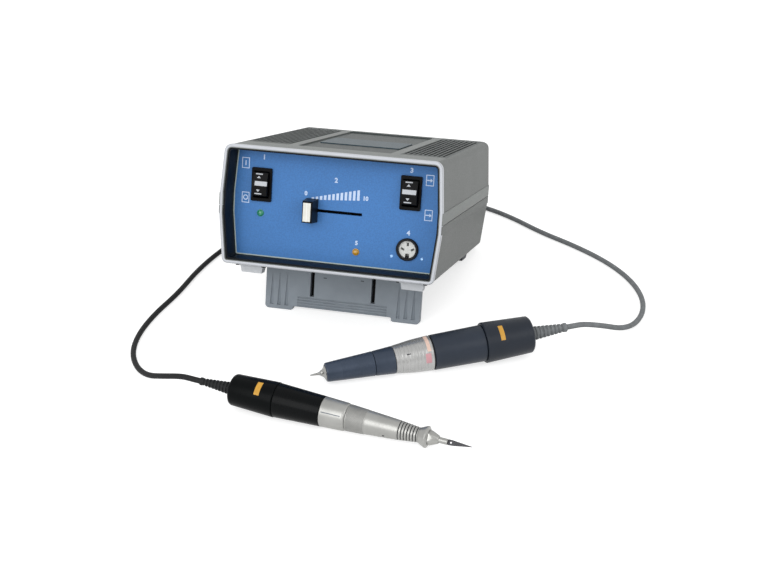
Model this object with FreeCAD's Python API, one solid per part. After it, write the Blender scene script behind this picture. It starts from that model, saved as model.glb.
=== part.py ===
import FreeCAD
import Part
import math
import os
from FreeCAD import Placement, Rotation, Vector

# Bench micromotor set: a sloping control unit that leans back on a fold-down stand, with a rotary
# handpiece and a reciprocating blade handpiece lying on the bench in front of it. Millimetres.
# The case is modelled level in its own frame: x to the right, y from the front rim to the back,
# z up from the base. Each handpiece is modelled along x, from its rear end to its tip.

# Case shells
CASE_DEPTH = 200.0
CASE_HEIGHT = 91.5
TOP_HALF_WIDTH = 84.2
BASE_HALF_WIDTH = 83.2
BAND_HALF_WIDTH = 87.5
BAND_PROUD = 0.5
BAND_LOW = 38.0
BAND_TOP = 54.0
SPLIT_HEIGHT = 44.5
SPLIT_GAP = 0.5
WALL = 2.6
TOP_CORNER = 6.0
BASE_CORNER = 4.0
REAR_CHAMFER = 2.2
RIM_CHAMFER = 0.7
LIP_THICKNESS = 1.1
LIP_HEIGHT = 2.0
FIT = 0.15

# Louvres and the sunk field of the top
VENT_SLOTS = 9
VENT_PITCH = 3.7
VENT_SLOT_WIDTH = 2.0
VENT_FIRST = 46.5
VENT_FRONT = 41.0
VENT_BACK = CASE_DEPTH - 15.0
VENT_BAR_THICKNESS = 2.0
VENT_BAR_DEPTH = 2.6
VENT_BARS = 3
FIELD_HALF_WIDTH = 37.0
FIELD_FRONT = 33.0
FIELD_BACK = CASE_DEPTH - 12.0
FIELD_DEPTH = 1.2
FIELD_CORNER = 3.0
BADGE_HALF_WIDTH = 33.0
BADGE_FRONT = 78.0
BADGE_BACK = BADGE_FRONT + 48.0
BADGE_THICKNESS = 0.8

# Front and rear panels and the ribs that hold them
PANEL_RECESS = 20.0
PANEL_THICKNESS = 2.0
SURROUND_FRONT = 1.6
SURROUND_THICKNESS = 1.2
RIB_THICKNESS = 2.0
RIB_HEIGHT = 3.0
REAR_PANEL_START = CASE_DEPTH - 6.0

# Screw posts of the two shells
POST_X = 70.0
POST_Y = (42.0, CASE_DEPTH - 10.0)
POST_RADIUS = 3.8
SCREW_RADIUS = 1.25
SCREW_HOLE_RADIUS = 1.75
SCREW_HEAD_RADIUS = 3.0
SCREW_HEAD_HEIGHT = 2.0
SCREW_GRIP = 10.0
SCREW_SLOT_WIDTH = 0.8

# Feet and fold-down stand
TILT = 15.5
FOOT_HEIGHT = 9.0
FOOT_FLANGE = 3.4
FOOT_STEP = 1.9
FOOT_TAPER = 0.9
FRONT_FOOT_X = 64.4
FRONT_FOOT_SIZE = (24.0, 15.0)
FRONT_FOOT_STEP = 2.9
FRONT_FOOT_Y = 19.5
REAR_FOOT_X = 69.0
REAR_FOOT_SIZE = (18.0, 21.0)
REAR_FOOT_BACK = CASE_DEPTH - 20.0
REST_LAND = 2.0
FOOT_PEG_RADIUS = 2.5
FOOT_PEG_HEIGHT = 2.0
STAND_Y = 55.0
STAND_AXIS_DROP = 4.0
STAND_THICKNESS = 5.0
STAND_HALF_WIDTH = 64.3
STAND_LEG_WIDTH = 23.3
STAND_BAR_LOW = 40.5
STAND_CORNER = 3.0
STAND_INNER_CORNER = 1.8
STAND_FILLET = 1.2
STAND_STOP_SPAN = (30.0, 50.0)
STAND_SLOT_X = 25.3
STAND_SLOT_WIDTH = 3.2
STAND_SLOT_LOW = 31.0
STAND_FLUTES = 3
STAND_FLUTE_PITCH = 6.2
STAND_FLUTE_RADIUS = 1.5
STAND_GROOVES = 4
STAND_GROOVE_PITCH = 2.2
STAND_GROOVE_WIDTH = 1.0
STAND_GROOVE_DEPTH = 0.8
STAND_GROOVE_HALF = 37.0
STAND_STOP_CLEARANCE = 0.2
LUG_WIDTH = 4.0
PIN_RADIUS = 1.5
PIN_RUNNING = 0.05
PIN_LENGTH = 14.0

# Controls on the front panel: x and z of each centre in the case frame
POWER_SWITCH_AT = (-60.3, 60.3)
ROTATION_SWITCH_AT = (57.9, 64.5)
SWITCH_FLANGE = (16.2, 26.0)
SWITCH_FLANGE_PROUD = 2.0
SWITCH_BODY = (15.4, 23.4)
SWITCH_BODY_DEPTH = 15.0
SWITCH_FLOOR = 2.5
ROCKER_SIZE = (12.0, 18.6)
ROCKER_SIDE_CLEARANCE = 0.3
ROCKER_END_CLEARANCE = 1.1
ROCKER_PIVOT_DEPTH = 4.0
ROCKER_FACE = 7.2
ROCKER_RIDGE = 8.8
ROCKER_RIDGE_HALF = 2.1
ROCKER_BACK = 2.5
ROCKER_TRAVEL = 14.0
TRUNNION_RADIUS = 1.0
TRUNNION_LENGTH = 1.1
KNOB_TRAVEL = 37.9
KNOB_AT = (-18.9, 44.2)
KNOB_SIZE = (9.4, 18.0)
KNOB_FRONT = 5.5
KNOB_PANEL_GAP = 0.6
KNOB_DRAFT = 0.7
LEVER_WIDTH = 2.8
LEVER_THICKNESS = 1.6
LEVER_CLEARANCE = 0.35
POT_HEIGHT = 9.0
POT_DEPTH = 9.0
POT_END = 8.0
LEVER_REACH = 5.0
POWER_LAMP_AT = (-60.6, 38.0)
OVERLOAD_LAMP_AT = (17.6, 15.2)
LAMP_RADIUS = 2.75
LAMP_PROUD = 2.2
LAMP_BODY_RADIUS = 2.3
LAMP_BODY_LENGTH = 9.0
SOCKET_AT = (57.9, 21.3)
SOCKET_RING_RADIUS = 8.7
SOCKET_RING_PROUD = 2.0
SOCKET_BORE_RADIUS = 6.75
SOCKET_SEAT_RADIUS = 5.9
SOCKET_BODY_RADIUS = 7.7
SOCKET_BODY_DEPTH = 11.0
SOCKET_FACE_DEPTH = 2.2
SOCKET_PIN_CIRCLE = 3.9
SOCKET_PIN_ANGLES = (0.0, 90.0, 180.0)
SOCKET_PIN_SLANTS = (30.0, 0.0, -30.0)
SOCKET_PIN_HOLE = (2.8, 1.6, 6.0)
SOCKET_KEY = (3.2, 2.6)

# Parts inside the case and on its rear panel
CORE_AT = (-38.0, 0.55 * CASE_DEPTH)
CORE_SIZE = (57.0, 24.0, 48.0)
CORE_LEG = 19.0
CORE_FOOT = (74.0, 1.6)
WINDING_PROUD = 9.0
WINDING_CLEARANCE = 0.3
BOARD_BOX = (-2.0, 72.0, 50.0, CASE_DEPTH - 30.0)
BOARD_HEIGHT = 10.0
BOARD_THICKNESS = 1.6
BOARD_POST_RADIUS = 3.0
BOARD_POST_INSET = 5.0
CAPACITORS = ((14.0, 68.0, 8.0, 26.0), (34.0, 68.0, 8.0, 26.0), (14.0, 90.0, 5.0, 16.0))
SINK_BOX = (28.0, 64.0, CASE_DEPTH - 96.0, CASE_DEPTH - 50.0)
SINK_BASE = 3.5
SINK_HEIGHT = 26.0
SINK_FIN_COUNT = 6
SINK_FIN_THICKNESS = 1.6
INLET_AT = (38.0, 32.0)
INLET_FLANGE = (31.0, 24.0)
INLET_FLANGE_THICKNESS = 3.0
INLET_BODY = (27.0, 20.0)
INLET_MOUTH = (22.6, 15.6)
INLET_DEPTH = 16.0
INLET_BODY_DEPTH = 18.0
INLET_PINS = ((-7.0, -1.6), (7.0, -1.6), (0.0, 2.4))
INLET_PIN_SIZE = (2.0, 4.0)
INLET_PIN_LENGTH = 10.5
FUSE_AT = (4.0, 32.0)
FUSE_CAP_RADIUS = 6.8
FUSE_CAP_LENGTH = 8.0
FUSE_BODY_RADIUS = 6.0
FUSE_BODY_LENGTH = 24.0

# Rotary handpiece: places along its axis from the rear end, each from the one before, and radii
ROTARY_CAP_END = 37.4
ROTARY_CAP_RADII = (13.95, 15.35)
ROTARY_SLEEVE_END = ROTARY_CAP_END + 40.0
ROTARY_SLEEVE_RADII = (13.75, 13.15)
ROTARY_SLEEVE_TAIL = 11.4
ROTARY_BORE = 10.6
ROTARY_RING = (ROTARY_SLEEVE_END + 1.0, ROTARY_SLEEVE_END + 29.4)
ROTARY_RING_RADII = (13.15, 10.45)
ROTARY_RING_BULGE = 0.45
ROTARY_RING_BORE = 8.6
ROTARY_SEAM = ROTARY_RING[1] + 15.2
ROTARY_FRONT_RADII = (10.35, 9.25)
ROTARY_NOSE_END = ROTARY_SEAM + 36.4
ROTARY_NOSE_RADIUS = 7.1
ROTARY_NOSE_ROUND = 1.2
ROTARY_INNER_BORE = 7.0
ROTARY_SPIGOT_RADIUS = 6.6
ROTARY_NOSE_BORE = 5.55
ROTARY_CONE_RADII = (5.5, 1.95)
ROTARY_CONE_LENGTH = 3.8
ROTARY_SPINDLE_RADIUS = 3.9
ROTARY_COLLET_RADIUS = 2.4
ROTARY_COLLET_TIP = 1.45
ROTARY_COLLET_END = ROTARY_NOSE_END + 4.6
ROTARY_SHANK_RADIUS = 1.175
ROTARY_TIP = ROTARY_COLLET_END + 6.8
ROTARY_TIP_RADIUS = 0.45
ROTARY_SHAFT_RADIUS = 2.5
ROTARY_CORE_RADIUS = 7.6
COLLET_TRAVEL = 0.8
RING_TWIST = 45.0

# Reciprocating handpiece: places along its axis from the rear end, each from the one before, and radii
RECIP_CAP_END = 34.5
RECIP_CAP_RADII = (11.35, 12.55)
RECIP_BARREL_END = RECIP_CAP_END + 35.0
RECIP_BARREL_RADII = (12.25, 10.75)
RECIP_BARREL_TAIL = 10.6
RECIP_BORE = 9.3
RECIP_COLLAR_END = RECIP_BARREL_END + 18.5
RECIP_COLLAR_RADII = (10.7, 9.85)
RECIP_INNER_BORE = 7.6
RECIP_GRIP_END = RECIP_COLLAR_END + 11.6
RECIP_TAPER_END = RECIP_GRIP_END + 25.7
RECIP_NECK_END = RECIP_TAPER_END + 14.6
RECIP_BODY_RADII = (9.4, 8.7, 6.85, 5.2)
RECIP_GROOVE_COUNT = 7
RECIP_NUT_FLARE = 5.4
RECIP_NUT_WIDEST = RECIP_NECK_END + RECIP_NUT_FLARE
RECIP_NUT_RADIUS = 7.7
RECIP_NUT_SHOULDER = 5.8
RECIP_NUT_END = RECIP_NUT_WIDEST + 8.7
RECIP_NUT_TIP_RADIUS = 3.0
RECIP_FLAT_COUNT = 6
RECIP_FLAT_DISTANCE = 4.7
RECIP_PLUNGER_RADIUS = 2.1
RECIP_PLUNGER_END = RECIP_NUT_END + 6.2
RECIP_PLUNGER_TAIL = RECIP_GRIP_END - 3.5
RECIP_FLANGE_RADIUS = 5.4
RECIP_CHAMBER = 6.2
RECIP_BLADE_TIP = RECIP_PLUNGER_END + 17.4
RECIP_BLADE_HALF = 2.0
RECIP_BLADE_THICKNESS = 0.6
RECIP_BLADE_HOLE = 0.65
RECIP_BLADE_ROLL = 55.0
RECIP_SHAFT_RADIUS = 2.2
RECIP_CORE_RADIUS = 6.8
RECIP_STROKE = 1.5
CAM_RADIUS = 5.4
CAM_GAP = 0.3
CAM_LENGTH = 10.7
CAM_GRIP = 5.0

# Motors of both handpieces
COMMUTATOR_LENGTH = 6.0
BRUSH_LENGTH = 4.0
BEARING_LENGTH = 5.0
END_WALL = 2.5

# Cords
CORD_RADIUS = 2.1
RELIEF_ROTARY = (29.5, 5.4, 3.2)
RELIEF_RECIP = (26.1, 4.6, 2.6)
RELIEF_RIB_COUNT = 8
RELIEF_NECK = 3.9
COIL_PITCH = 4.2
COIL_INNER_TURN = 16.7
COIL_COLUMN_COUNT = 4
COIL_LAYER_COUNT = 2
PLUG_RADIUS = 7.75
PLUG_RELIEF_LENGTH = 18.0
PLUG_BODY_LENGTH = 26.0
PLUG_SKIRT_RADIUS = 6.6
PLUG_SKIRT_LENGTH = 9.0
PLUG_GRIP_COUNT = 4
SHORT_ARC = 0.45

# Places on the bench: the origin is the middle of the set's footprint, at bench level
CASE_X = -48.2
CASE_Y = -40.5
ROTARY_REAR = (107.4, -26.9)
ROTARY_YAW = -150.1
RECIP_REAR = (-83.4, -151.9)
RECIP_YAW = -6.8
ROTARY_COIL_AT = (-20.0, 217.0)
RECIP_COIL_AT = (-122.0, 217.0)
FLOOR_CORD = 2.2
ROTARY_ROUTE = (
    (145.3, -5.1, 19.4), (159.8, 4.4, 14.9), (172.6, 18.9, 6.4), (182.0, 37.3, FLOOR_CORD),
    (186.4, 60.9, FLOOR_CORD), (182.5, 88.6, FLOOR_CORD), (169.5, 117.8, FLOOR_CORD),
    (147.3, 146.2, FLOOR_CORD), (116.7, 171.9, FLOOR_CORD), (83.2, 193.7, FLOOR_CORD),
    (54.5, 218.6, FLOOR_CORD), (27.0, 236.5, FLOOR_CORD), (-1.0, 246.0, FLOOR_CORD),
    (-19.0, 246.3, FLOOR_CORD))
RECIP_ROUTE = (
    (-124.2, -147.0, 16.0), (-141.0, -142.8, 11.2), (-157.7, -134.3, 4.4), (-172.6, -120.9, FLOOR_CORD),
    (-185.0, -100.3, FLOOR_CORD), (-191.8, -73.1, FLOOR_CORD), (-193.0, -39.1, FLOOR_CORD),
    (-188.8, 0.7, FLOOR_CORD), (-189.6, 44.7, FLOOR_CORD), (-184.0, 90.4, FLOOR_CORD),
    (-171.9, 132.7, FLOOR_CORD), (-158.9, 161.9, FLOOR_CORD), (-152.2, 188.0, FLOOR_CORD),
    (-151.3, 213.0, FLOOR_CORD))
ROTARY_TAIL = (
    (-23.0, 246.3, 6.4), (-37.0, 247.4, 5.8), (-48.3, 255.8, 5.0), (-54.0, 269.2, 6.0),
    (-54.5, 283.5, PLUG_RADIUS))
RECIP_TAIL = (
    (-119.0, 246.3, 6.4), (-105.0, 247.4, 5.8), (-93.7, 255.8, 5.0), (-88.0, 269.2, 6.0),
    (-87.5, 283.5, PLUG_RADIUS))


def box(x0, x1, y0, y1, z0, z1):
    """Box between two corners."""
    return Part.makeBox(x1 - x0, y1 - y0, z1 - z0, Vector(x0, y0, z0))


def rounded_wire(corners, radii, to_space):
    """Closed outline of straight lines with each corner rounded by a tangent arc."""
    count = len(corners)
    edges = []
    joints = []
    for i in range(count):
        here = Vector(corners[i][0], corners[i][1], 0)
        before = Vector(corners[i - 1][0], corners[i - 1][1], 0)
        after = Vector(corners[(i + 1) % count][0], corners[(i + 1) % count][1], 0)
        to_before = (before - here).normalize()
        to_after = (after - here).normalize()
        half = to_before.getAngle(to_after) / 2
        reach = radii[i] / math.tan(half) if radii[i] > 0 else 0
        middle = (to_before + to_after).normalize()
        crown = here + middle * (radii[i] / math.sin(half) - radii[i]) if radii[i] > 0 else here
        joints.append((here + to_before * reach, crown, here + to_after * reach))
    for i in range(count):
        start, crown, end = joints[i]
        following = joints[(i + 1) % count][0]
        if radii[i] > 0:
            edges.append(Part.Arc(to_space(start), to_space(crown), to_space(end)).toShape())
        edges.append(Part.LineSegment(to_space(end), to_space(following)).toShape())
    return Part.Wire(edges)


def front_prism(corners, radii, y0, y1):
    """Outline in x and z, carried from y0 to y1."""
    wire = rounded_wire(corners, radii, lambda p: Vector(p.x, y0, p.y))
    return Part.Face(wire).extrude(Vector(0, y1 - y0, 0))


def side_prism(corners, radii, x0, x1):
    """Outline in y and z, carried from x0 to x1."""
    wire = rounded_wire(corners, radii, lambda p: Vector(x0, p.x, p.y))
    return Part.Face(wire).extrude(Vector(x1 - x0, 0, 0))


def top_prism(corners, radii, z0, z1):
    """Outline in x and y, carried from z0 to z1."""
    wire = rounded_wire(corners, radii, lambda p: Vector(p.x, p.y, z0))
    return Part.Face(wire).extrude(Vector(0, 0, z1 - z0))


def rectangle(x, z, width, height):
    """Corners of a rectangle about a centre."""
    return [(x - width / 2, z - height / 2), (x + width / 2, z - height / 2),
            (x + width / 2, z + height / 2), (x - width / 2, z + height / 2)]


def turned(profile):
    """Solid turned about the x axis from (place, radius) corners given in order."""
    corners = [Vector(s, 0, r) for s, r in profile]
    face = Part.Face(Part.makePolygon(corners + corners[:1]))
    return face.revolve(Vector(0, 0, 0), Vector(1, 0, 0), 360)


def rod(start, end, radius):
    """Cylinder on the x axis."""
    return Part.makeCylinder(radius, end - start, Vector(start, 0, 0), Vector(1, 0, 0))


def ring(start, end, outer, inner):
    """Ring about the x axis."""
    return turned([(start, inner), (end, inner), (end, outer), (start, outer)])


def pin_along_y(x, z, start, end, radius):
    """Cylinder that runs from front to back in the case frame."""
    return Part.makeCylinder(radius, end - start, Vector(x, start, z), Vector(0, 1, 0))


def inset(corners, distance):
    """Corners of a convex outline moved inwards, each side by the same distance."""
    moved = []
    count = len(corners)
    for i in range(count):
        lines = []
        for a, b in ((corners[i - 1], corners[i]), (corners[i], corners[(i + 1) % count])):
            length = math.hypot(b[0] - a[0], b[1] - a[1])
            normal = (-(b[1] - a[1]) / length, (b[0] - a[0]) / length)
            lines.append((normal, normal[0] * a[0] + normal[1] * a[1] + distance))
        (n0, d0), (n1, d1) = lines
        cross = n0[0] * n1[1] - n0[1] * n1[0]
        moved.append(((d0 * n1[1] - d1 * n0[1]) / cross, (n0[0] * d1 - n1[0] * d0) / cross))
    return moved


def section(distance):
    """Six-sided case section, moved in from the outside by a distance."""
    side = BAND_HALF_WIDTH - BAND_PROUD
    right = [(BASE_HALF_WIDTH, 0.0), (side, BAND_LOW), (side, BAND_TOP), (TOP_HALF_WIDTH, CASE_HEIGHT)]
    left = [(-x, z) for x, z in reversed(right)]
    return inset(left + right, distance) if distance else left + right


def section_prism(distance, y0, y1):
    """Case section from y0 to y1 with its corners rounded to suit its distance from the outside."""
    top = max(TOP_CORNER - distance, 1.0)
    base = max(BASE_CORNER - distance, 1.0)
    kink = 0.0
    return front_prism(section(distance), [top, kink, kink, base, base, kink, kink, top], y0, y1)


def frame_between(outer, inner, y0, y1):
    """Frame that follows the case section between two distances from the outside."""
    return section_prism(outer, y0, y1).cut(section_prism(inner, y0 - 1, y1 + 1))


def side_bands(low, high):
    """Raised bands along both sides of the case between two heights."""
    root = BAND_HALF_WIDTH - BAND_PROUD
    bands = []
    for side in (-1, 1):
        x0, x1 = sorted((side * (root - 0.5), side * BAND_HALF_WIDTH))
        bands.append(box(x0, x1, 0, CASE_DEPTH, low, high))
    return bands


def case_outside():
    """Outer form of both shells together, chamfered at the rear and along the front rim."""
    outside = section_prism(0, 0, CASE_DEPTH).fuse(side_bands(BAND_LOW, BAND_TOP))
    wide = BAND_HALF_WIDTH + 1
    corners = [(0, 0), (CASE_DEPTH - REAR_CHAMFER, 0), (CASE_DEPTH, REAR_CHAMFER),
               (CASE_DEPTH, CASE_HEIGHT - REAR_CHAMFER), (CASE_DEPTH - REAR_CHAMFER, CASE_HEIGHT),
               (RIM_CHAMFER, CASE_HEIGHT), (0, CASE_HEIGHT - RIM_CHAMFER)]
    return outside.common(side_prism(corners, [0] * len(corners), -wide, wide))


def post_places():
    """Screw post centres, both sides, front and rear."""
    return [(side * POST_X, y) for side in (-1, 1) for y in POST_Y]


def panel_ribs():
    """Ribs behind the front panel and on both sides of the rear panel."""
    behind_front = PANEL_RECESS + PANEL_THICKNESS + FIT
    before_rear = REAR_PANEL_START - FIT - RIB_THICKNESS
    after_rear = REAR_PANEL_START + PANEL_THICKNESS + FIT
    return [frame_between(WALL - 0.3, WALL + RIB_HEIGHT, y, y + RIB_THICKNESS)
            for y in (behind_front, before_rear, after_rear)]


def lip_span():
    """Front and back of the locating lip, between the panels' ribs."""
    front = PANEL_RECESS + PANEL_THICKNESS + FIT + RIB_THICKNESS + 1
    return front, REAR_PANEL_START - FIT - RIB_THICKNESS - 1


def upper_case():
    """Upper shell: louvred top, sides down to the split, ribs and screw posts."""
    low = SPLIT_HEIGHT + SPLIT_GAP / 2
    wide = BAND_HALF_WIDTH + 5
    upper_half = box(-wide, wide, -5, CASE_DEPTH + 5, low, CASE_HEIGHT + 5)
    shell = case_outside().cut(section_prism(WALL, -1, CASE_DEPTH + 1))
    shell = shell.fuse(panel_ribs()).common(upper_half)
    posts = []
    holes = []
    for x, y in post_places():
        posts.append(Part.makeCylinder(POST_RADIUS, CASE_HEIGHT - WALL / 2 - low, Vector(x, y, low)))
        holes.append(Part.makeCylinder(SCREW_RADIUS, SCREW_GRIP + 1, Vector(x, y, low - 0.5)))
    bars = []
    last_slot = VENT_FIRST + (VENT_SLOTS - 1) * VENT_PITCH
    bar_step = (VENT_BACK - VENT_FRONT) / (VENT_BARS + 1)
    for side in (-1, 1):
        x0, x1 = sorted((side * (VENT_FIRST - VENT_PITCH), side * (last_slot + VENT_PITCH / 2)))
        for i in range(VENT_BARS):
            y = VENT_FRONT + (i + 1) * bar_step
            under = CASE_HEIGHT - WALL
            bars.append(box(x0, x1, y - VENT_BAR_THICKNESS / 2, y + VENT_BAR_THICKNESS / 2,
                            under - VENT_BAR_DEPTH, under + 0.4))
    shell = shell.fuse(posts)
    lip_front, lip_back = lip_span()
    rebate = frame_between(WALL - LIP_THICKNESS - FIT, WALL + 0.2, lip_front - FIT, lip_back + FIT)
    rebate = rebate.common(box(-wide, wide, 0, CASE_DEPTH, low - 1, SPLIT_HEIGHT + LIP_HEIGHT + FIT))
    cuts = holes + [rebate, sunk_field()] + vent_slots()
    return shell.cut(cuts).fuse(bars).removeSplitter()


def sunk_field():
    """Shallow field between the louvres."""
    corners = [(-FIELD_HALF_WIDTH, FIELD_FRONT), (FIELD_HALF_WIDTH, FIELD_FRONT),
               (FIELD_HALF_WIDTH, FIELD_BACK), (-FIELD_HALF_WIDTH, FIELD_BACK)]
    return top_prism(corners, [FIELD_CORNER] * 4, CASE_HEIGHT - FIELD_DEPTH, CASE_HEIGHT + 1)


def vent_slots():
    """Long slots of both louvre fields, from front to back."""
    slots = []
    for side in (-1, 1):
        for i in range(VENT_SLOTS):
            x = side * (VENT_FIRST + i * VENT_PITCH)
            slots.append(box(x - VENT_SLOT_WIDTH / 2, x + VENT_SLOT_WIDTH / 2, VENT_FRONT, VENT_BACK,
                             CASE_HEIGHT - WALL - 0.5, CASE_HEIGHT + 1))
    return slots


def foot_places():
    """Centre and size of each foot: both front feet, then both rear feet."""
    rear_y = REAR_FOOT_BACK - REAR_FOOT_SIZE[1] / 2
    front = [(side * FRONT_FOOT_X, FRONT_FOOT_Y, FRONT_FOOT_SIZE) for side in (-1, 1)]
    rear = [(side * REAR_FOOT_X, rear_y, REAR_FOOT_SIZE) for side in (-1, 1)]
    return front, rear


def lower_case():
    """Lower shell: floor, sides up to the split with a locating lip, posts, lugs and stand stop."""
    high = SPLIT_HEIGHT - SPLIT_GAP / 2
    wide = BAND_HALF_WIDTH + 5
    lower_half = box(-wide, wide, -5, CASE_DEPTH + 5, -5, high)
    shell = case_outside().cut(section_prism(WALL, -1, CASE_DEPTH + 1))
    shell = shell.fuse(panel_ribs()).common(lower_half)
    lip_front, lip_back = lip_span()
    lip = frame_between(WALL - LIP_THICKNESS, WALL, lip_front, lip_back)
    lip = lip.common(box(-wide, wide, 0, CASE_DEPTH, high - 1, SPLIT_HEIGHT + LIP_HEIGHT))
    added = [lip]
    holes = []
    for x, y in post_places():
        added.append(Part.makeCylinder(POST_RADIUS, high - WALL / 2, Vector(x, y, WALL / 2)))
        holes.append(Part.makeCylinder(SCREW_HOLE_RADIUS, high + 2, Vector(x, y, -1)))
        holes.append(Part.makeCylinder(SCREW_HEAD_RADIUS + FIT, SCREW_HEAD_HEIGHT + 1, Vector(x, y, -1)))
    for x, y in board_posts():
        added.append(Part.makeCylinder(BOARD_POST_RADIUS, BOARD_HEIGHT - WALL / 2, Vector(x, y, WALL / 2)))
    front_feet, rear_feet = foot_places()
    for x, y, size in front_feet + rear_feet:
        holes.append(Part.makeCylinder(FOOT_PEG_RADIUS + 0.05, FOOT_PEG_HEIGHT + 1.1, Vector(x, y, -1)))
    added += stand_lugs()
    stop_back = STAND_Y - STAND_THICKNESS / 2 - STAND_STOP_CLEARANCE
    stop_low = -2 * STAND_AXIS_DROP
    for side in (-1, 1):
        x0, x1 = sorted((side * STAND_STOP_SPAN[0], side * STAND_STOP_SPAN[1]))
        added.append(box(x0, x1, stop_back - 2.4, stop_back, stop_low, WALL / 2))
    for side in (-1, 1):
        x0, x1 = sorted((side * (STAND_HALF_WIDTH - 1), side * (STAND_HALF_WIDTH + LUG_WIDTH + 1)))
        holes.append(Part.makeCylinder(PIN_RADIUS + 0.02, x1 - x0, Vector(x0, STAND_Y, -STAND_AXIS_DROP),
                                       Vector(1, 0, 0)))
    return shell.fuse(added).cut(holes).removeSplitter()


def stand_lugs():
    """Two lugs under the floor that carry the stand's pins, outboard of the plate."""
    lugs = []
    reach = STAND_AXIS_DROP + STAND_THICKNESS / 2
    half = STAND_THICKNESS / 2 + 0.8
    for side in (-1, 1):
        x0, x1 = sorted((side * (STAND_HALF_WIDTH + 0.3), side * (STAND_HALF_WIDTH + 0.3 + LUG_WIDTH)))
        corners = [(STAND_Y - half, -reach), (STAND_Y + half, -reach),
                   (STAND_Y + half, WALL / 2), (STAND_Y - half, WALL / 2)]
        lugs.append(side_prism(corners, [half * 0.8, half * 0.8, 0, 0], x0, x1))
    return lugs


def front_panel():
    """Front panel plate with its cut-outs."""
    plate = section_prism(WALL + FIT, PANEL_RECESS, PANEL_RECESS + PANEL_THICKNESS)
    y0 = PANEL_RECESS - 1
    y1 = PANEL_RECESS + PANEL_THICKNESS + 1
    cuts = []
    for x, z in (POWER_SWITCH_AT, ROTATION_SWITCH_AT):
        width, height = SWITCH_BODY
        cuts.append(front_prism(rectangle(x, z, width + 2 * FIT, height + 2 * FIT), [0] * 4, y0, y1))
    for x, z in (POWER_LAMP_AT, OVERLOAD_LAMP_AT):
        cuts.append(pin_along_y(x, z, y0, y1, LAMP_BODY_RADIUS + 0.05))
    cuts.append(pin_along_y(SOCKET_AT[0], SOCKET_AT[1], y0, y1, SOCKET_BODY_RADIUS + 0.05))
    cuts.append(slider_slot(y0, y1))
    return plate.cut(cuts)


def slider_slot(y0, y1):
    """Room that the slider's lever needs over its whole travel."""
    x0 = KNOB_AT[0] - LEVER_WIDTH / 2 - LEVER_CLEARANCE
    x1 = KNOB_AT[0] + KNOB_TRAVEL + LEVER_WIDTH / 2 + LEVER_CLEARANCE
    half = LEVER_THICKNESS / 2 + LEVER_CLEARANCE
    return box(x0, x1, y0, y1, KNOB_AT[1] - half, KNOB_AT[1] + half)


def panel_surround():
    """Dark lining of the hood in front of the panel."""
    return frame_between(WALL + FIT, WALL + FIT + SURROUND_THICKNESS, SURROUND_FRONT, PANEL_RECESS)


def rear_panel():
    """Rear panel plate with holes for the mains inlet and the fuse holder."""
    y0 = REAR_PANEL_START
    y1 = REAR_PANEL_START + PANEL_THICKNESS
    plate = section_prism(WALL + FIT, y0, y1)
    width, height = INLET_BODY
    inlet = front_prism(rectangle(INLET_AT[0], INLET_AT[1], width + 2 * FIT, height + 2 * FIT), [0] * 4,
                        y0 - 1, y1 + 1)
    fuse = pin_along_y(FUSE_AT[0], FUSE_AT[1], y0 - 1, y1 + 1, FUSE_BODY_RADIUS + 0.05)
    return plate.cut([inlet, fuse])


def top_badge():
    """Bare plate lying in the sunk field of the top."""
    floor = CASE_HEIGHT - FIELD_DEPTH
    corners = [(-BADGE_HALF_WIDTH, BADGE_FRONT), (BADGE_HALF_WIDTH, BADGE_FRONT),
               (BADGE_HALF_WIDTH, BADGE_BACK), (-BADGE_HALF_WIDTH, BADGE_BACK)]
    return top_prism(corners, [2.0] * 4, floor, floor + BADGE_THICKNESS)


def case_screws():
    """Four screws that come up through the lower posts into the upper ones."""
    screws = []
    for x, y in post_places():
        head = Part.makeCylinder(SCREW_HEAD_RADIUS, SCREW_HEAD_HEIGHT, Vector(x, y, 0))
        top = SPLIT_HEIGHT + SCREW_GRIP
        shank = Part.makeCylinder(SCREW_RADIUS - 0.02, top - 1, Vector(x, y, 1))
        half = SCREW_SLOT_WIDTH / 2
        reach = SCREW_HEAD_RADIUS * 0.7
        cross = [box(x - reach, x + reach, y - half, y + half, -1, 0.9),
                 box(x - half, x + half, y - reach, y + reach, -1, 0.9)]
        screws.append(head.fuse(shank).cut(cross))
    return screws


def foot_outline(x, y, size, low, moved_in, straight_back):
    """Rectangle of a foot at one level, moved in all round, or all round but at the back."""
    width, length = size
    x0, x1 = x - width / 2 + moved_in, x + width / 2 - moved_in
    y0, y1 = y - length / 2 + moved_in, y + length / 2 - (0 if straight_back else moved_in)
    return Part.makePolygon([Vector(px, py, low) for px, py in ((x0, y0), (x1, y0), (x1, y1), (x0, y1), (x0, y0))])


def foot(x, y, size, step, straight_back):
    """Rubber foot: flange, tapered block below it and a peg in the floor; a rear foot keeps its back upright."""
    width, length = size
    flange = box(x - width / 2, x + width / 2, y - length / 2, y + length / 2, -FOOT_FLANGE, 0)
    block = Part.makeLoft([foot_outline(x, y, size, -FOOT_FLANGE, step, straight_back),
                           foot_outline(x, y, size, -FOOT_HEIGHT, step + FOOT_TAPER, straight_back)],
                          True, True)
    peg = Part.makeCylinder(FOOT_PEG_RADIUS, FOOT_PEG_HEIGHT + 0.5, Vector(x, y, -0.5))
    return flange.fuse([block, peg]).removeSplitter()


def front_feet():
    return [foot(x, y, size, FRONT_FOOT_STEP, False) for x, y, size in foot_places()[0]]


def rear_feet():
    return [above_bench(foot(x, y, size, FOOT_STEP, True)) for x, y, size in foot_places()[1]]


def bench_drop():
    """Height of the case's front base edge above the bench when it leans back on its stand."""
    rest_y = REAR_FOOT_BACK - REST_LAND
    tilt = math.radians(TILT)
    return rest_y * math.sin(tilt) + FOOT_HEIGHT * math.cos(tilt)


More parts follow.
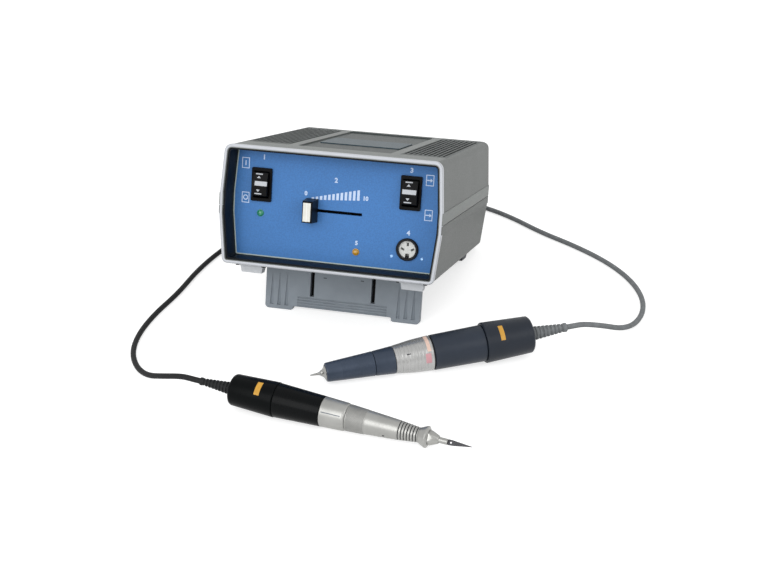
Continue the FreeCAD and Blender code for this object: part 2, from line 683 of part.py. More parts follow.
def bench_level(y):
    """Level of the bench in the case frame at a place from front to back."""
    tilt = math.radians(TILT)
    return (y * math.sin(tilt) - bench_drop()) / math.cos(tilt)


def above_bench(shape):
    """A case-frame shape cut off flat at the bench."""
    reach = 2 * CASE_DEPTH
    slab = box(-reach, reach, -reach, reach, -reach, 0)
    return shape.cut(placed(slab, case_place().inverse()))


def case_place():
    """From the level case frame to the bench frame: lean back and lift."""
    return Placement(Vector(CASE_X, CASE_Y, bench_drop()), Rotation(Vector(1, 0, 0), -TILT))


def stand():
    """Fold-down stand: a plate with two legs, a spring tongue between slits, flutes and grooves."""
    y0 = STAND_Y - STAND_THICKNESS / 2
    y1 = STAND_Y + STAND_THICKNESS / 2
    low = bench_level(y0)
    high = -STAND_AXIS_DROP + STAND_THICKNESS / 2
    plate = side_prism([(y0, low - 1), (y1, low - 1), (y1, high), (y0, high)],
                       [0, 0, STAND_THICKNESS / 2 - 0.01, STAND_THICKNESS / 2 - 0.01],
                       -STAND_HALF_WIDTH, STAND_HALF_WIDTH)
    inner = STAND_HALF_WIDTH - STAND_LEG_WIDTH
    corners = [(-STAND_HALF_WIDTH, low), (-inner, low), (-inner, -STAND_BAR_LOW), (inner, -STAND_BAR_LOW),
               (inner, low), (STAND_HALF_WIDTH, low), (STAND_HALF_WIDTH, high + 1), (-STAND_HALF_WIDTH, high + 1)]
    radii = [STAND_CORNER, STAND_INNER_CORNER, STAND_FILLET, STAND_FILLET, STAND_INNER_CORNER, STAND_CORNER, 0, 0]
    plate = plate.common(front_prism(corners, radii, y0 - 1, y1 + 1))
    slits = []
    for side in (-1, 1):
        x = side * STAND_SLOT_X
        slits.append(box(x - STAND_SLOT_WIDTH / 2, x + STAND_SLOT_WIDTH / 2, y0 - 1, y1 + 1,
                         -STAND_SLOT_LOW, 1))
        slits.append(rod(*sorted((side * (STAND_HALF_WIDTH - PIN_LENGTH + LUG_WIDTH), side * (STAND_HALF_WIDTH + 1))),
                         PIN_RADIUS + PIN_RUNNING).translated(Vector(0, STAND_Y, -STAND_AXIS_DROP)))
    flutes = []
    for side in (-1, 1):
        middle = side * (STAND_HALF_WIDTH - STAND_LEG_WIDTH / 2)
        for i in range(STAND_FLUTES):
            x = middle + (i - (STAND_FLUTES - 1) / 2) * STAND_FLUTE_PITCH
            flutes.append(Part.makeCone(0.1, STAND_FLUTE_RADIUS, STAND_BAR_LOW - 14, Vector(x, y0, -14),
                                        Vector(0, 0, -1)))
    grooves = []
    for i in range(STAND_GROOVES):
        z = -STAND_SLOT_LOW - 1.6 - i * STAND_GROOVE_PITCH
        grooves.append(box(-STAND_GROOVE_HALF, STAND_GROOVE_HALF, y0 - 1, y0 + STAND_GROOVE_DEPTH,
                           z - STAND_GROOVE_WIDTH / 2, z + STAND_GROOVE_WIDTH / 2))
    return above_bench(plate.cut(slits + flutes + grooves))


def stand_pins():
    """Two hinge pins, pressed in the lugs, on which the stand turns."""
    pins = []
    for side in (-1, 1):
        outer = STAND_HALF_WIDTH + 0.3 + LUG_WIDTH
        x0, x1 = sorted((side * outer, side * (outer - PIN_LENGTH)))
        pins.append(rod(x0, x1, PIN_RADIUS).translated(Vector(0, STAND_Y, -STAND_AXIS_DROP)))
    return pins


def rocker_pivot(at):
    """Pivot of a rocker in the case frame."""
    return Vector(at[0], PANEL_RECESS - SWITCH_FLANGE_PROUD + ROCKER_PIVOT_DEPTH, at[1])


def switch_housing(at):
    """Snap-in switch housing: flange in front of the panel, hollow body behind it."""
    x, z = at
    front = PANEL_RECESS - SWITCH_FLANGE_PROUD
    back = PANEL_RECESS + SWITCH_BODY_DEPTH
    flange = front_prism(rectangle(x, z, *SWITCH_FLANGE), [1.0] * 4, front, PANEL_RECESS)
    body = front_prism(rectangle(x, z, *SWITCH_BODY), [0] * 4, PANEL_RECESS - 0.5, back)
    width = ROCKER_SIZE[0] + 2 * ROCKER_SIDE_CLEARANCE
    height = ROCKER_SIZE[1] + 2 * ROCKER_END_CLEARANCE
    well = front_prism(rectangle(x, z, width, height), [0] * 4, front - 1, back - SWITCH_FLOOR)
    pivot = rocker_pivot(at)
    reach = ROCKER_SIZE[0] / 2 + TRUNNION_LENGTH + 0.1
    bearing = rod(-reach, reach, TRUNNION_RADIUS + PIN_RUNNING).translated(pivot)
    return flange.fuse(body).cut([well, bearing]).removeSplitter()


def rocker(at):
    """Rocker with a raised middle ridge, trunnions at its sides, tipped to its upper contact."""
    half = ROCKER_SIZE[1] / 2
    ends = half - 2.0
    corners = [(ROCKER_BACK, -ends), (ROCKER_BACK, ends), (0, half), (-ROCKER_FACE, half),
               (-ROCKER_RIDGE, ROCKER_RIDGE_HALF), (-ROCKER_RIDGE, -ROCKER_RIDGE_HALF),
               (-ROCKER_FACE, -half), (0, -half)]
    width = ROCKER_SIZE[0]
    body = side_prism(corners, [0, 0, 0, 0.8, 0.6, 0.6, 0.8, 0], -width / 2, width / 2)
    reach = width / 2 + TRUNNION_LENGTH
    shape = body.fuse(rod(-reach, reach, TRUNNION_RADIUS))
    tipped = placed(shape, Placement(Vector(0, 0, 0), Rotation(Vector(1, 0, 0), -ROCKER_TRAVEL / 2)))
    return placed(tipped, Placement(rocker_pivot(at), Rotation()))


def speed_knob():
    """Slider knob, drafted towards its front, on a flat lever that reaches into the slider's body."""
    x, z = KNOB_AT
    width, height = KNOB_SIZE
    back = PANEL_RECESS - KNOB_PANEL_GAP
    wires = []
    for y, draft in ((back, 0.0), (KNOB_FRONT + 1.0, KNOB_DRAFT), (KNOB_FRONT, KNOB_DRAFT + 0.8)):
        corners = rectangle(x, z, width - 2 * draft, height - 2 * draft)
        wires.append(Part.makePolygon([Vector(px, y, pz) for px, pz in corners + corners[:1]]))
    body = Part.makeLoft(wires[:2], True, True).fuse(Part.makeLoft(wires[1:], True, True))
    half = LEVER_WIDTH / 2
    end = PANEL_RECESS + PANEL_THICKNESS + LEVER_REACH
    lever = box(x - half, x + half, back - 1, end, z - LEVER_THICKNESS / 2, z + LEVER_THICKNESS / 2)
    return body.fuse(lever).removeSplitter()


def slide_potentiometer():
    """Slider body behind the panel, open at the front along its travel."""
    y0 = PANEL_RECESS + PANEL_THICKNESS
    y1 = y0 + POT_DEPTH
    x0 = KNOB_AT[0] - POT_END
    x1 = KNOB_AT[0] + KNOB_TRAVEL + POT_END
    body = box(x0, x1, y0, y1, KNOB_AT[1] - POT_HEIGHT / 2, KNOB_AT[1] + POT_HEIGHT / 2)
    return body.cut(slider_slot(y0 - 1, y0 + LEVER_REACH + LEVER_CLEARANCE))


def lamp(at):
    """Indicator lamp: domed lens in front of the panel, body behind it."""
    dome = LAMP_RADIUS - 0.6
    profile = [(PANEL_RECESS + LAMP_BODY_LENGTH, 0), (PANEL_RECESS - LAMP_PROUD, 0),
               (PANEL_RECESS - LAMP_PROUD + 0.25, dome * 0.6), (PANEL_RECESS - LAMP_PROUD + 0.9, dome),
               (PANEL_RECESS - 0.8, LAMP_RADIUS - 0.3), (PANEL_RECESS - 0.6, LAMP_RADIUS),
               (PANEL_RECESS, LAMP_RADIUS), (PANEL_RECESS, LAMP_BODY_RADIUS),
               (PANEL_RECESS + LAMP_BODY_LENGTH, LAMP_BODY_RADIUS)]
    return along_y(turned(profile), at)


def along_y(shape, at):
    """Shape turned about x, stood along the case's y at a place on the panel."""
    return placed(shape, Placement(Vector(at[0], 0, at[1]), Rotation(Vector(0, 0, 1), 90)))


def output_socket_shell():
    """Round socket shell: ring in front of the panel, body behind it, bored for the plug."""
    front = PANEL_RECESS - SOCKET_RING_PROUD
    back = PANEL_RECESS + SOCKET_BODY_DEPTH
    profile = [(front, SOCKET_BORE_RADIUS), (front, SOCKET_RING_RADIUS - 0.5), (front + 0.5, SOCKET_RING_RADIUS),
               (PANEL_RECESS, SOCKET_RING_RADIUS), (PANEL_RECESS, SOCKET_BODY_RADIUS),
               (back, SOCKET_BODY_RADIUS), (back, SOCKET_SEAT_RADIUS),
               (front + SOCKET_FACE_DEPTH, SOCKET_SEAT_RADIUS), (front + SOCKET_FACE_DEPTH, SOCKET_BORE_RADIUS)]
    return along_y(turned(profile), SOCKET_AT)


def output_socket_insert():
    """Insulating insert with three contact slots and a key notch."""
    front = PANEL_RECESS - SOCKET_RING_PROUD + SOCKET_FACE_DEPTH
    back = PANEL_RECESS + SOCKET_BODY_DEPTH
    x, z = SOCKET_AT
    body = along_y(rod(front, back, SOCKET_SEAT_RADIUS - 0.03), SOCKET_AT)
    length, width, depth = SOCKET_PIN_HOLE
    cuts = []
    for angle, slant in zip(SOCKET_PIN_ANGLES, SOCKET_PIN_SLANTS):
        slot = placed(box(-length / 2, length / 2, front - 1, front + depth, -width / 2, width / 2),
                      Placement(Vector(SOCKET_PIN_CIRCLE, 0, 0), Rotation(Vector(0, 1, 0), -slant)))
        turn = Placement(Vector(x, 0, z), Rotation(Vector(0, 1, 0), -angle))
        cuts.append(placed(slot, turn))
    key_width, key_height = SOCKET_KEY
    cuts.append(box(x - key_width / 2, x + key_width / 2, front - 1, front + depth,
                    z - SOCKET_SEAT_RADIUS - 1, z - SOCKET_SEAT_RADIUS + key_height))
    return body.cut(cuts)


def transformer_core():
    """Laminated core with two windows, on a bracket that stands on the floor."""
    x, y = CORE_AT
    width, depth, height = CORE_SIZE
    low = WALL + CORE_FOOT[1]
    block = box(x - width / 2, x + width / 2, y - depth / 2, y + depth / 2, low, low + height)
    yoke = CORE_LEG / 2
    windows = []
    for side in (-1, 1):
        x0, x1 = sorted((x + side * CORE_LEG / 2, x + side * (width / 2 - yoke)))
        windows.append(box(x0, x1, y - depth, y + depth, low + yoke, low + height - yoke))
    bracket = box(x - CORE_FOOT[0] / 2, x + CORE_FOOT[0] / 2, y - depth / 2, y + depth / 2, WALL, low)
    return block.cut(windows).fuse(bracket).removeSplitter()


def transformer_winding():
    """Winding about the core's middle leg."""
    x, y = CORE_AT
    width, depth, height = CORE_SIZE
    low = WALL + CORE_FOOT[1] + CORE_LEG / 2 + WINDING_CLEARANCE
    high = WALL + CORE_FOOT[1] + height - CORE_LEG / 2 - WINDING_CLEARANCE
    half = width / 2 - CORE_LEG / 2 - WINDING_CLEARANCE
    reach = depth / 2 + WINDING_PROUD
    corners = [(x - half, y - reach), (x + half, y - reach), (x + half, y + reach), (x - half, y + reach)]
    coil = top_prism(corners, [4.0] * 4, low, high)
    leg = CORE_LEG / 2 + WINDING_CLEARANCE
    core = box(x - leg, x + leg, y - depth / 2 - WINDING_CLEARANCE, y + depth / 2 + WINDING_CLEARANCE,
               low - 1, high + 1)
    return coil.cut(core)


def board_posts():
    """Centres of the four posts under the circuit board."""
    x0, x1, y0, y1 = BOARD_BOX
    return [(x, y) for x in (x0 + BOARD_POST_INSET, x1 - BOARD_POST_INSET)
            for y in (y0 + BOARD_POST_INSET, y1 - BOARD_POST_INSET)]


def circuit_board():
    """Circuit board with its capacitors."""
    x0, x1, y0, y1 = BOARD_BOX
    top = BOARD_HEIGHT + BOARD_THICKNESS
    board = box(x0, x1, y0, y1, BOARD_HEIGHT, top)
    cans = [Part.makeCylinder(radius, height, Vector(x, y, top)) for x, y, radius, height in CAPACITORS]
    return board.fuse(cans)


def heat_sink():
    """Finned heat sink on the board."""
    x0, x1, y0, y1 = SINK_BOX
    low = BOARD_HEIGHT + BOARD_THICKNESS
    base = box(x0, x1, y0, y1, low, low + SINK_BASE)
    pitch = (x1 - x0 - SINK_FIN_THICKNESS) / (SINK_FIN_COUNT - 1)
    fins = [box(x0 + i * pitch, x0 + i * pitch + SINK_FIN_THICKNESS, y0, y1, low, low + SINK_HEIGHT)
            for i in range(SINK_FIN_COUNT)]
    return base.fuse(fins).removeSplitter()


def mains_inlet():
    """Appliance inlet with three flat contacts, for a detachable mains lead."""
    x, z = INLET_AT
    outside = REAR_PANEL_START + PANEL_THICKNESS
    front = outside + INLET_FLANGE_THICKNESS
    flange = front_prism(rectangle(x, z, *INLET_FLANGE), [2.0] * 4, outside, front)
    body = front_prism(rectangle(x, z, *INLET_BODY), [0] * 4, front - INLET_BODY_DEPTH, outside + 0.5)
    width, height = INLET_MOUTH
    mouth_corners = rectangle(x, z, width, height)
    mouth = front_prism(mouth_corners, [1.0, 1.0, 4.0, 4.0], front - INLET_DEPTH, front + 1)
    pins = []
    for px, pz in INLET_PINS:
        corners = rectangle(x + px, z + pz, *INLET_PIN_SIZE)
        pins.append(front_prism(corners, [0] * 4, front - INLET_DEPTH - 0.5, front - INLET_DEPTH + INLET_PIN_LENGTH))
    return flange.fuse(body).cut(mouth).fuse(pins).removeSplitter()


def fuse_holder():
    """Fuse holder with its screw cap outside the rear panel."""
    outside = REAR_PANEL_START + PANEL_THICKNESS
    end = outside + FUSE_CAP_LENGTH
    profile = [(outside - FUSE_BODY_LENGTH, 0), (outside - FUSE_BODY_LENGTH, FUSE_BODY_RADIUS),
               (outside, FUSE_BODY_RADIUS), (outside, FUSE_CAP_RADIUS), (end - 1, FUSE_CAP_RADIUS - 0.4),
               (end, FUSE_CAP_RADIUS - 1.4), (end, 0)]
    slot = box(-FUSE_CAP_RADIUS, FUSE_CAP_RADIUS, end - 1.4, end + 1, -0.8, 0.8)
    return along_y(turned(profile), FUSE_AT).cut(slot.translated(Vector(FUSE_AT[0], 0, FUSE_AT[1])))


def line_radius(span, radii, place):
    """Radius at a place on a straight taper."""
    share = (place - span[0]) / (span[1] - span[0])
    return radii[0] + (radii[1] - radii[0]) * share


def grooved_line(span, radii, count, width, depth):
    """Corners of a straight taper with evenly spaced square grooves."""
    step = (span[1] - span[0]) / count
    corners = []
    for i in range(count):
        middle = span[0] + (i + 0.5) * step
        for place, drop in ((middle - width / 2, 0), (middle - width / 2, depth),
                            (middle + width / 2, depth), (middle + width / 2, 0)):
            corners.append((place, line_radius(span, radii, place) - drop))
    return corners


def rotary_parts():
    """Every piece of the rotary handpiece, along its own axis."""
    cap_tail = ROTARY_CAP_END - 21.4
    cap = turned([(0, RELIEF_NECK + 0.05), (0, ROTARY_CAP_RADII[0] - 1.2), (1.2, ROTARY_CAP_RADII[0]),
                  (ROTARY_CAP_END - 0.6, ROTARY_CAP_RADII[1]), (ROTARY_CAP_END, ROTARY_CAP_RADII[1] - 0.5),
                  (ROTARY_CAP_END, ROTARY_SLEEVE_TAIL + 0.05), (cap_tail - 2, ROTARY_SLEEVE_TAIL + 0.05),
                  (cap_tail - 3, ROTARY_BORE), (END_WALL, ROTARY_BORE), (END_WALL, RELIEF_NECK + 0.05)])
    step = ROTARY_CAP_END + 0.3
    sleeve = turned([(cap_tail, ROTARY_BORE), (cap_tail, ROTARY_SLEEVE_TAIL), (step, ROTARY_SLEEVE_TAIL),
                     (step, ROTARY_SLEEVE_RADII[0] - 0.4), (step + 0.5, ROTARY_SLEEVE_RADII[0]),
                     (ROTARY_SLEEVE_END - 0.4, ROTARY_SLEEVE_RADII[1]),
                     (ROTARY_SLEEVE_END, ROTARY_SLEEVE_RADII[1] - 0.4), (ROTARY_SLEEVE_END, ROTARY_BORE)])
    tail_start = ROTARY_SLEEVE_END - 11.4
    ring_start, ring_end = ROTARY_RING
    hub = ROTARY_RING_BORE - 0.05
    shoulder = ring_end + 0.3
    spigot_end = ROTARY_SEAM + 11.5
    front = turned([(tail_start, ROTARY_INNER_BORE), (tail_start, ROTARY_BORE - 0.05),
                    (ROTARY_SLEEVE_END + 0.05, ROTARY_BORE - 0.05), (ROTARY_SLEEVE_END + 0.05, 11.6),
                    (ring_start - 0.3, 11.6), (ring_start - 0.3, hub), (shoulder, hub),
                    (shoulder, ROTARY_FRONT_RADII[0]), (ROTARY_SEAM - 0.5, ROTARY_FRONT_RADII[1]),
                    (ROTARY_SEAM, ROTARY_FRONT_RADII[1] - 0.4), (ROTARY_SEAM, ROTARY_SPIGOT_RADIUS),
                    (spigot_end, ROTARY_SPIGOT_RADIUS), (spigot_end, ROTARY_INNER_BORE - 2),
                    (spigot_end - 16, ROTARY_INNER_BORE - 2), (spigot_end - 16, ROTARY_INNER_BORE)])
    middle = (ring_start + ring_end) / 2
    waist = line_radius(ROTARY_RING, ROTARY_RING_RADII, middle) + ROTARY_RING_BULGE
    ridges = grooved_line((ring_start + 4, middle), (line_radius(ROTARY_RING, (ROTARY_RING_RADII[0], 2 * waist
                          - ROTARY_RING_RADII[0]), ring_start + 4), waist), 3, 0.6, 0.25)
    ridges += grooved_line((middle, ring_end - 3), (waist, line_radius((middle, ring_end), (waist,
                           ROTARY_RING_RADII[1]), ring_end - 3)), 3, 0.6, 0.25)
    chuck = turned([(ring_start, ROTARY_RING_BORE), (ring_start, ROTARY_RING_RADII[0] - 0.5),
                    (ring_start + 0.5, ROTARY_RING_RADII[0])] + ridges
                   + [(ring_end - 0.4, ROTARY_RING_RADII[1]), (ring_end, ROTARY_RING_RADII[1] - 0.4),
                      (ring_end, ROTARY_RING_BORE)])
    nose_start = ROTARY_SEAM + 0.25
    nose_span = (nose_start, ROTARY_NOSE_END)
    nose_radii = (ROTARY_FRONT_RADII[1] - 0.05, ROTARY_NOSE_RADIUS)
    ringed_end = nose_start + 25.0
    nose_rings = grooved_line((nose_start + 1.0, ringed_end),
                              (line_radius(nose_span, nose_radii, nose_start + 1.0),
                               line_radius(nose_span, nose_radii, ringed_end)), 12, 0.5, 0.18)
    web = ROTARY_NOSE_END - 6.0
    nose = turned([(nose_start, ROTARY_SPIGOT_RADIUS + 0.05), (nose_start, nose_radii[0] - 0.4)] + nose_rings
                  + [(ROTARY_NOSE_END - ROTARY_NOSE_ROUND, ROTARY_NOSE_RADIUS),
                     (ROTARY_NOSE_END - 0.3 * ROTARY_NOSE_ROUND, ROTARY_NOSE_RADIUS - 0.3 * ROTARY_NOSE_ROUND),
                     (ROTARY_NOSE_END, ROTARY_NOSE_RADIUS - ROTARY_NOSE_ROUND),
                     (ROTARY_NOSE_END, 4.6), (web, 4.6), (web, ROTARY_NOSE_BORE),
                     (spigot_end + 0.3, ROTARY_NOSE_BORE), (spigot_end + 0.3, ROTARY_SPIGOT_RADIUS + 0.05)])
    cone_start = ROTARY_NOSE_END
    cone_end = cone_start + ROTARY_CONE_LENGTH
    cone_bore = ROTARY_COLLET_TIP + 0.25
    cone = turned([(cone_start - 3, cone_bore), (cone_start - 3, 4.55), (cone_start, 4.55),
                   (cone_start, ROTARY_CONE_RADII[0]), (cone_start + 0.5, ROTARY_CONE_RADII[0]),
                   (cone_start + 1.4, 3.6), (cone_start + 2.4, 2.6), (cone_end, ROTARY_CONE_RADII[1]),
                   (cone_end, cone_bore)])
    spindle_start = ring_start + 15.6
    spindle_end = cone_start - 4.0
    collet_start = ROTARY_SEAM - 3.5
    spindle = rod(spindle_start, spindle_end, ROTARY_SPINDLE_RADIUS)
    spindle = spindle.cut([rod(collet_start - 1, spindle_end + 1, ROTARY_COLLET_RADIUS + 0.05),
                           box(spindle_start - 1, spindle_start + 4, -6, 6, -1.0, 1.0)])
    collet = rod(collet_start, spindle_end - 1, ROTARY_COLLET_RADIUS)
    collet = collet.fuse(rod(spindle_end - 1.5, ROTARY_COLLET_END, ROTARY_COLLET_TIP))
    bore = rod(collet_start - 1, ROTARY_COLLET_END + 1, ROTARY_SHANK_RADIUS + 0.02)
    slits = [placed(box(ROTARY_COLLET_END - 22, ROTARY_COLLET_END + 1, 0, 3, -0.2, 0.2),
                    Placement(Vector(0, 0, 0), Rotation(Vector(1, 0, 0), 120 * i + 30))) for i in range(3)]
    collet = collet.cut([bore] + slits)
    needle = turned([(collet_start + 12, 0), (collet_start + 12, ROTARY_SHANK_RADIUS),
                     (ROTARY_COLLET_END + 0.2, ROTARY_SHANK_RADIUS), (ROTARY_COLLET_END + 1.6, 0.95),
                     (ROTARY_TIP - 0.4, ROTARY_TIP_RADIUS), (ROTARY_TIP, 0)])
    shaft_start = ROTARY_CAP_END - 10.4
    commutator = ROTARY_CAP_END + 0.6
    core_start = ROTARY_CAP_END + 9.6
    core_end = ROTARY_SLEEVE_END - 12.4
    tang_end = spindle_start + 3.6
    armature = rod(shaft_start, spindle_start - 0.3, ROTARY_SHAFT_RADIUS)
    tang = rod(spindle_start - 1, tang_end, ROTARY_SHAFT_RADIUS).common(
        box(spindle_start - 1, tang_end, -6, 6, -0.9, 0.9))
    armature = armature.fuse([rod(commutator, commutator + COMMUTATOR_LENGTH, 4.4),
                              rod(core_start, core_end, ROTARY_CORE_RADIUS), tang])
    stator = ring(core_start - 0.5, core_end + 0.5, ROTARY_BORE - 0.05, ROTARY_CORE_RADIUS + 0.5)
    run = PIN_RUNNING
    bearings = []
    for place, outer, inner in ((shaft_start + 1, ROTARY_BORE, ROTARY_SHAFT_RADIUS),
                                (tail_start + 2, ROTARY_INNER_BORE, ROTARY_SHAFT_RADIUS),
                                (spindle_start + 4, ROTARY_INNER_BORE, ROTARY_SPINDLE_RADIUS),
                                (web - BEARING_LENGTH - 0.1, ROTARY_NOSE_BORE, ROTARY_SPINDLE_RADIUS)):
        bearings.append(ring(place, place + BEARING_LENGTH, outer - 0.05, inner + run))
    brushes = [box(commutator + 1, commutator + 1 + BRUSH_LENGTH, *sorted((side * 4.65, side * (ROTARY_BORE - 0.5))),
                   -1.6, 1.6) for side in (-1, 1)]
    return {
        "rotary_rear_cap": cap, "rotary_motor_sleeve": sleeve, "rotary_front_sleeve": front,
        "rotary_chuck_ring": chuck, "rotary_nose_sleeve": nose, "rotary_nose_cone": cone,
        "rotary_spindle": spindle, "rotary_collet": collet, "rotary_needle": needle,
        "rotary_armature": armature, "rotary_magnets": stator, "rotary_bearings": bearings,
        "rotary_brushes": brushes, "rotary_strain_relief": strain_relief(RELIEF_ROTARY)}


def strain_relief(size):
    """Ribbed rubber relief behind the rear end, with a flange inside the cap."""
    length, root, end = size
    span = (-length + 2.5, -2.0)
    radii = (end, root)
    return turned([(5.0, 0), (5.0, RELIEF_NECK + 1.6), (2.55, RELIEF_NECK + 1.6), (2.55, RELIEF_NECK),
                   (-0.05, RELIEF_NECK), (-0.05, root), (-1.5, root)]
                  + list(reversed(grooved_line(span, radii, RELIEF_RIB_COUNT, 1.3, 0.55)))
                  + [(-length + 2.4, end), (-length + 2.0, end + 0.3), (-length + 0.4, end + 0.3),
                     (-length, end - 0.1), (-length, 0)])


def nut_flats(nut):
    """Wrench flats round the nose nut."""
    cuts = []
    for i in range(RECIP_FLAT_COUNT):
        angle = 360.0 / RECIP_FLAT_COUNT * (i + 0.5)
        flat = box(RECIP_NUT_WIDEST + 1.5, RECIP_NUT_END, -9, 9, RECIP_FLAT_DISTANCE,
                   RECIP_FLAT_DISTANCE + 6)
        cuts.append(placed(flat, Placement(Vector(0, 0, 0), Rotation(Vector(1, 0, 0), angle))))
    return nut.cut(cuts)


def recip_parts():
    """Every piece of the reciprocating handpiece, along its own axis."""
    tail = RECIP_CAP_END - 20.5
    cap = turned([(0, RELIEF_NECK + 0.05), (0, RECIP_CAP_RADII[0] - 1.6), (0.6, RECIP_CAP_RADII[0] - 0.6),
                  (1.8, RECIP_CAP_RADII[0]), (RECIP_CAP_END - 0.6, RECIP_CAP_RADII[1]),
                  (RECIP_CAP_END, RECIP_CAP_RADII[1] - 0.4), (RECIP_CAP_END, RECIP_BARREL_TAIL + 0.05),
                  (tail - 2, RECIP_BARREL_TAIL + 0.05), (tail - 3, RECIP_BORE), (END_WALL, RECIP_BORE),
                  (END_WALL, RELIEF_NECK + 0.05)])
    step = RECIP_CAP_END + 0.25
    barrel = turned([(tail, RECIP_BORE), (tail, RECIP_BARREL_TAIL), (step, RECIP_BARREL_TAIL),
                     (step, RECIP_BARREL_RADII[0] - 0.3), (step + 0.4, RECIP_BARREL_RADII[0]),
                     (RECIP_BARREL_END - 0.4, RECIP_BARREL_RADII[1]),
                     (RECIP_BARREL_END, RECIP_BARREL_RADII[1] - 0.3), (RECIP_BARREL_END, RECIP_BORE)])
    collar_start = RECIP_BARREL_END + 0.2
    collar_tail = RECIP_BARREL_END - 8.4
    collar = turned([(collar_tail, RECIP_INNER_BORE), (collar_tail, RECIP_BORE - 0.05),
                     (collar_start, RECIP_BORE - 0.05), (collar_start, RECIP_COLLAR_RADII[0] - 0.2),
                     (collar_start + 0.3, RECIP_COLLAR_RADII[0]), (RECIP_COLLAR_END - 2.2, RECIP_COLLAR_RADII[1] + 0.1),
                     (RECIP_COLLAR_END - 0.8, RECIP_COLLAR_RADII[1] - 0.2),
                     (RECIP_COLLAR_END, RECIP_COLLAR_RADII[1] - 0.9), (RECIP_COLLAR_END, RECIP_INNER_BORE)])
    body_start = RECIP_COLLAR_END + 0.2
    spigot_start = body_start - 9.0
    chamber_end = RECIP_GRIP_END + 13.5
    guide = RECIP_PLUNGER_RADIUS + PIN_RUNNING
    thread = 3.6
    neck_span = (RECIP_TAPER_END, RECIP_NECK_END)
    body = turned([(spigot_start, RECIP_CHAMBER), (spigot_start, RECIP_INNER_BORE - 0.05),
                   (body_start, RECIP_INNER_BORE - 0.05), (body_start, RECIP_BODY_RADII[0] - 0.3),
                   (body_start + 0.3, RECIP_BODY_RADII[0]), (RECIP_GRIP_END, RECIP_BODY_RADII[1]),
                   (RECIP_TAPER_END, RECIP_BODY_RADII[2])]
                  + grooved_line(neck_span, RECIP_BODY_RADII[2:], RECIP_GROOVE_COUNT, 0.9, 0.6)
                  + [(RECIP_NECK_END, RECIP_BODY_RADII[3]), (RECIP_NECK_END, thread),
                     (RECIP_NUT_WIDEST - 0.5, thread), (RECIP_NUT_WIDEST - 0.5, guide),
                     (chamber_end, guide), (chamber_end, RECIP_CHAMBER)])
    hole_depth = Part.makeCylinder(0.7, 3, Vector(chamber_end + 2, 0, RECIP_BODY_RADII[2]), Vector(0, 0, 1))
    body = body.cut(placed(hole_depth, Placement(Vector(0, 0, 0), Rotation(Vector(1, 0, 0), 110))))
    nut_start = RECIP_NECK_END + 0.15
    nut = turned([(nut_start, thread + 0.05), (nut_start, RECIP_BODY_RADII[3] + 0.15),
                  (RECIP_NUT_WIDEST - 0.6, RECIP_NUT_RADIUS - 0.2), (RECIP_NUT_WIDEST, RECIP_NUT_RADIUS),
                  (RECIP_NUT_WIDEST + 0.6, RECIP_NUT_RADIUS - 0.2), (RECIP_NUT_WIDEST + 1.5, RECIP_NUT_SHOULDER),
                  (RECIP_NUT_END - 0.5, RECIP_NUT_TIP_RADIUS),
                  (RECIP_NUT_END, RECIP_NUT_TIP_RADIUS - 0.4), (RECIP_NUT_END, guide + 0.1),
                  (RECIP_NUT_WIDEST, guide + 0.1), (RECIP_NUT_WIDEST, thread + 0.05)])
    nut = nut_flats(nut)
    flange_end = RECIP_PLUNGER_TAIL + 2.5
    plunger = rod(RECIP_PLUNGER_TAIL, RECIP_PLUNGER_END, RECIP_PLUNGER_RADIUS)
    plunger = plunger.fuse(rod(RECIP_PLUNGER_TAIL, flange_end, RECIP_FLANGE_RADIUS))
    root_start = RECIP_PLUNGER_END - 4.0
    half = RECIP_BLADE_THICKNESS / 2
    roll = Placement(Vector(0, 0, 0), Rotation(Vector(1, 0, 0), RECIP_BLADE_ROLL))
    slot = box(root_start, RECIP_PLUNGER_END + 1, -3, 3, -half - 0.02, half + 0.02)
    plunger = plunger.cut(placed(slot, roll)).removeSplitter()
    root_half = RECIP_PLUNGER_RADIUS - 0.5
    outline = [(root_start + 0.05, -root_half), (RECIP_PLUNGER_END + 0.2, -root_half),
               (RECIP_PLUNGER_END + 0.5, -RECIP_BLADE_HALF), (RECIP_PLUNGER_END + 4.0, -RECIP_BLADE_HALF + 0.25),
               (RECIP_BLADE_TIP - 0.2, 0.45), (RECIP_BLADE_TIP - 0.2, 0.75),
               (RECIP_PLUNGER_END + 3.0, RECIP_BLADE_HALF), (RECIP_PLUNGER_END + 0.5, RECIP_BLADE_HALF),
               (RECIP_PLUNGER_END + 0.2, root_half), (root_start + 0.05, root_half)]
    wire = Part.makePolygon([Vector(s, b, -half) for s, b in outline + outline[:1]])
    blade = Part.Face(wire).extrude(Vector(0, 0, 2 * half))
    blade = blade.cut(Part.makeCylinder(RECIP_BLADE_HOLE, 3, Vector(RECIP_PLUNGER_END + 2.2, 0, -1.5)))
    blade = placed(blade, roll)
    cam_high = RECIP_PLUNGER_TAIL - CAM_GAP
    cam_start = cam_high - CAM_LENGTH
    cam = rod(cam_start, cam_high, CAM_RADIUS)
    lean = math.degrees(math.atan(RECIP_STROKE / (2 * CAM_RADIUS)))
    wedge = box(0, 6, -8, 8, -16, 8)
    wedge = placed(wedge, Placement(Vector(cam_high, 0, CAM_RADIUS), Rotation(Vector(0, 1, 0), lean)))
    cam = cam.cut([wedge, rod(cam_start - 1, cam_start + CAM_GRIP, RECIP_SHAFT_RADIUS + 0.02)])
    shaft_start = RECIP_CAP_END - 9.5
    commutator = RECIP_CAP_END - 2.5
    core_start = RECIP_CAP_END + 7.5
    core_end = RECIP_BARREL_END - 10.4
    armature = rod(shaft_start, cam_start + CAM_GRIP - 0.1, RECIP_SHAFT_RADIUS)
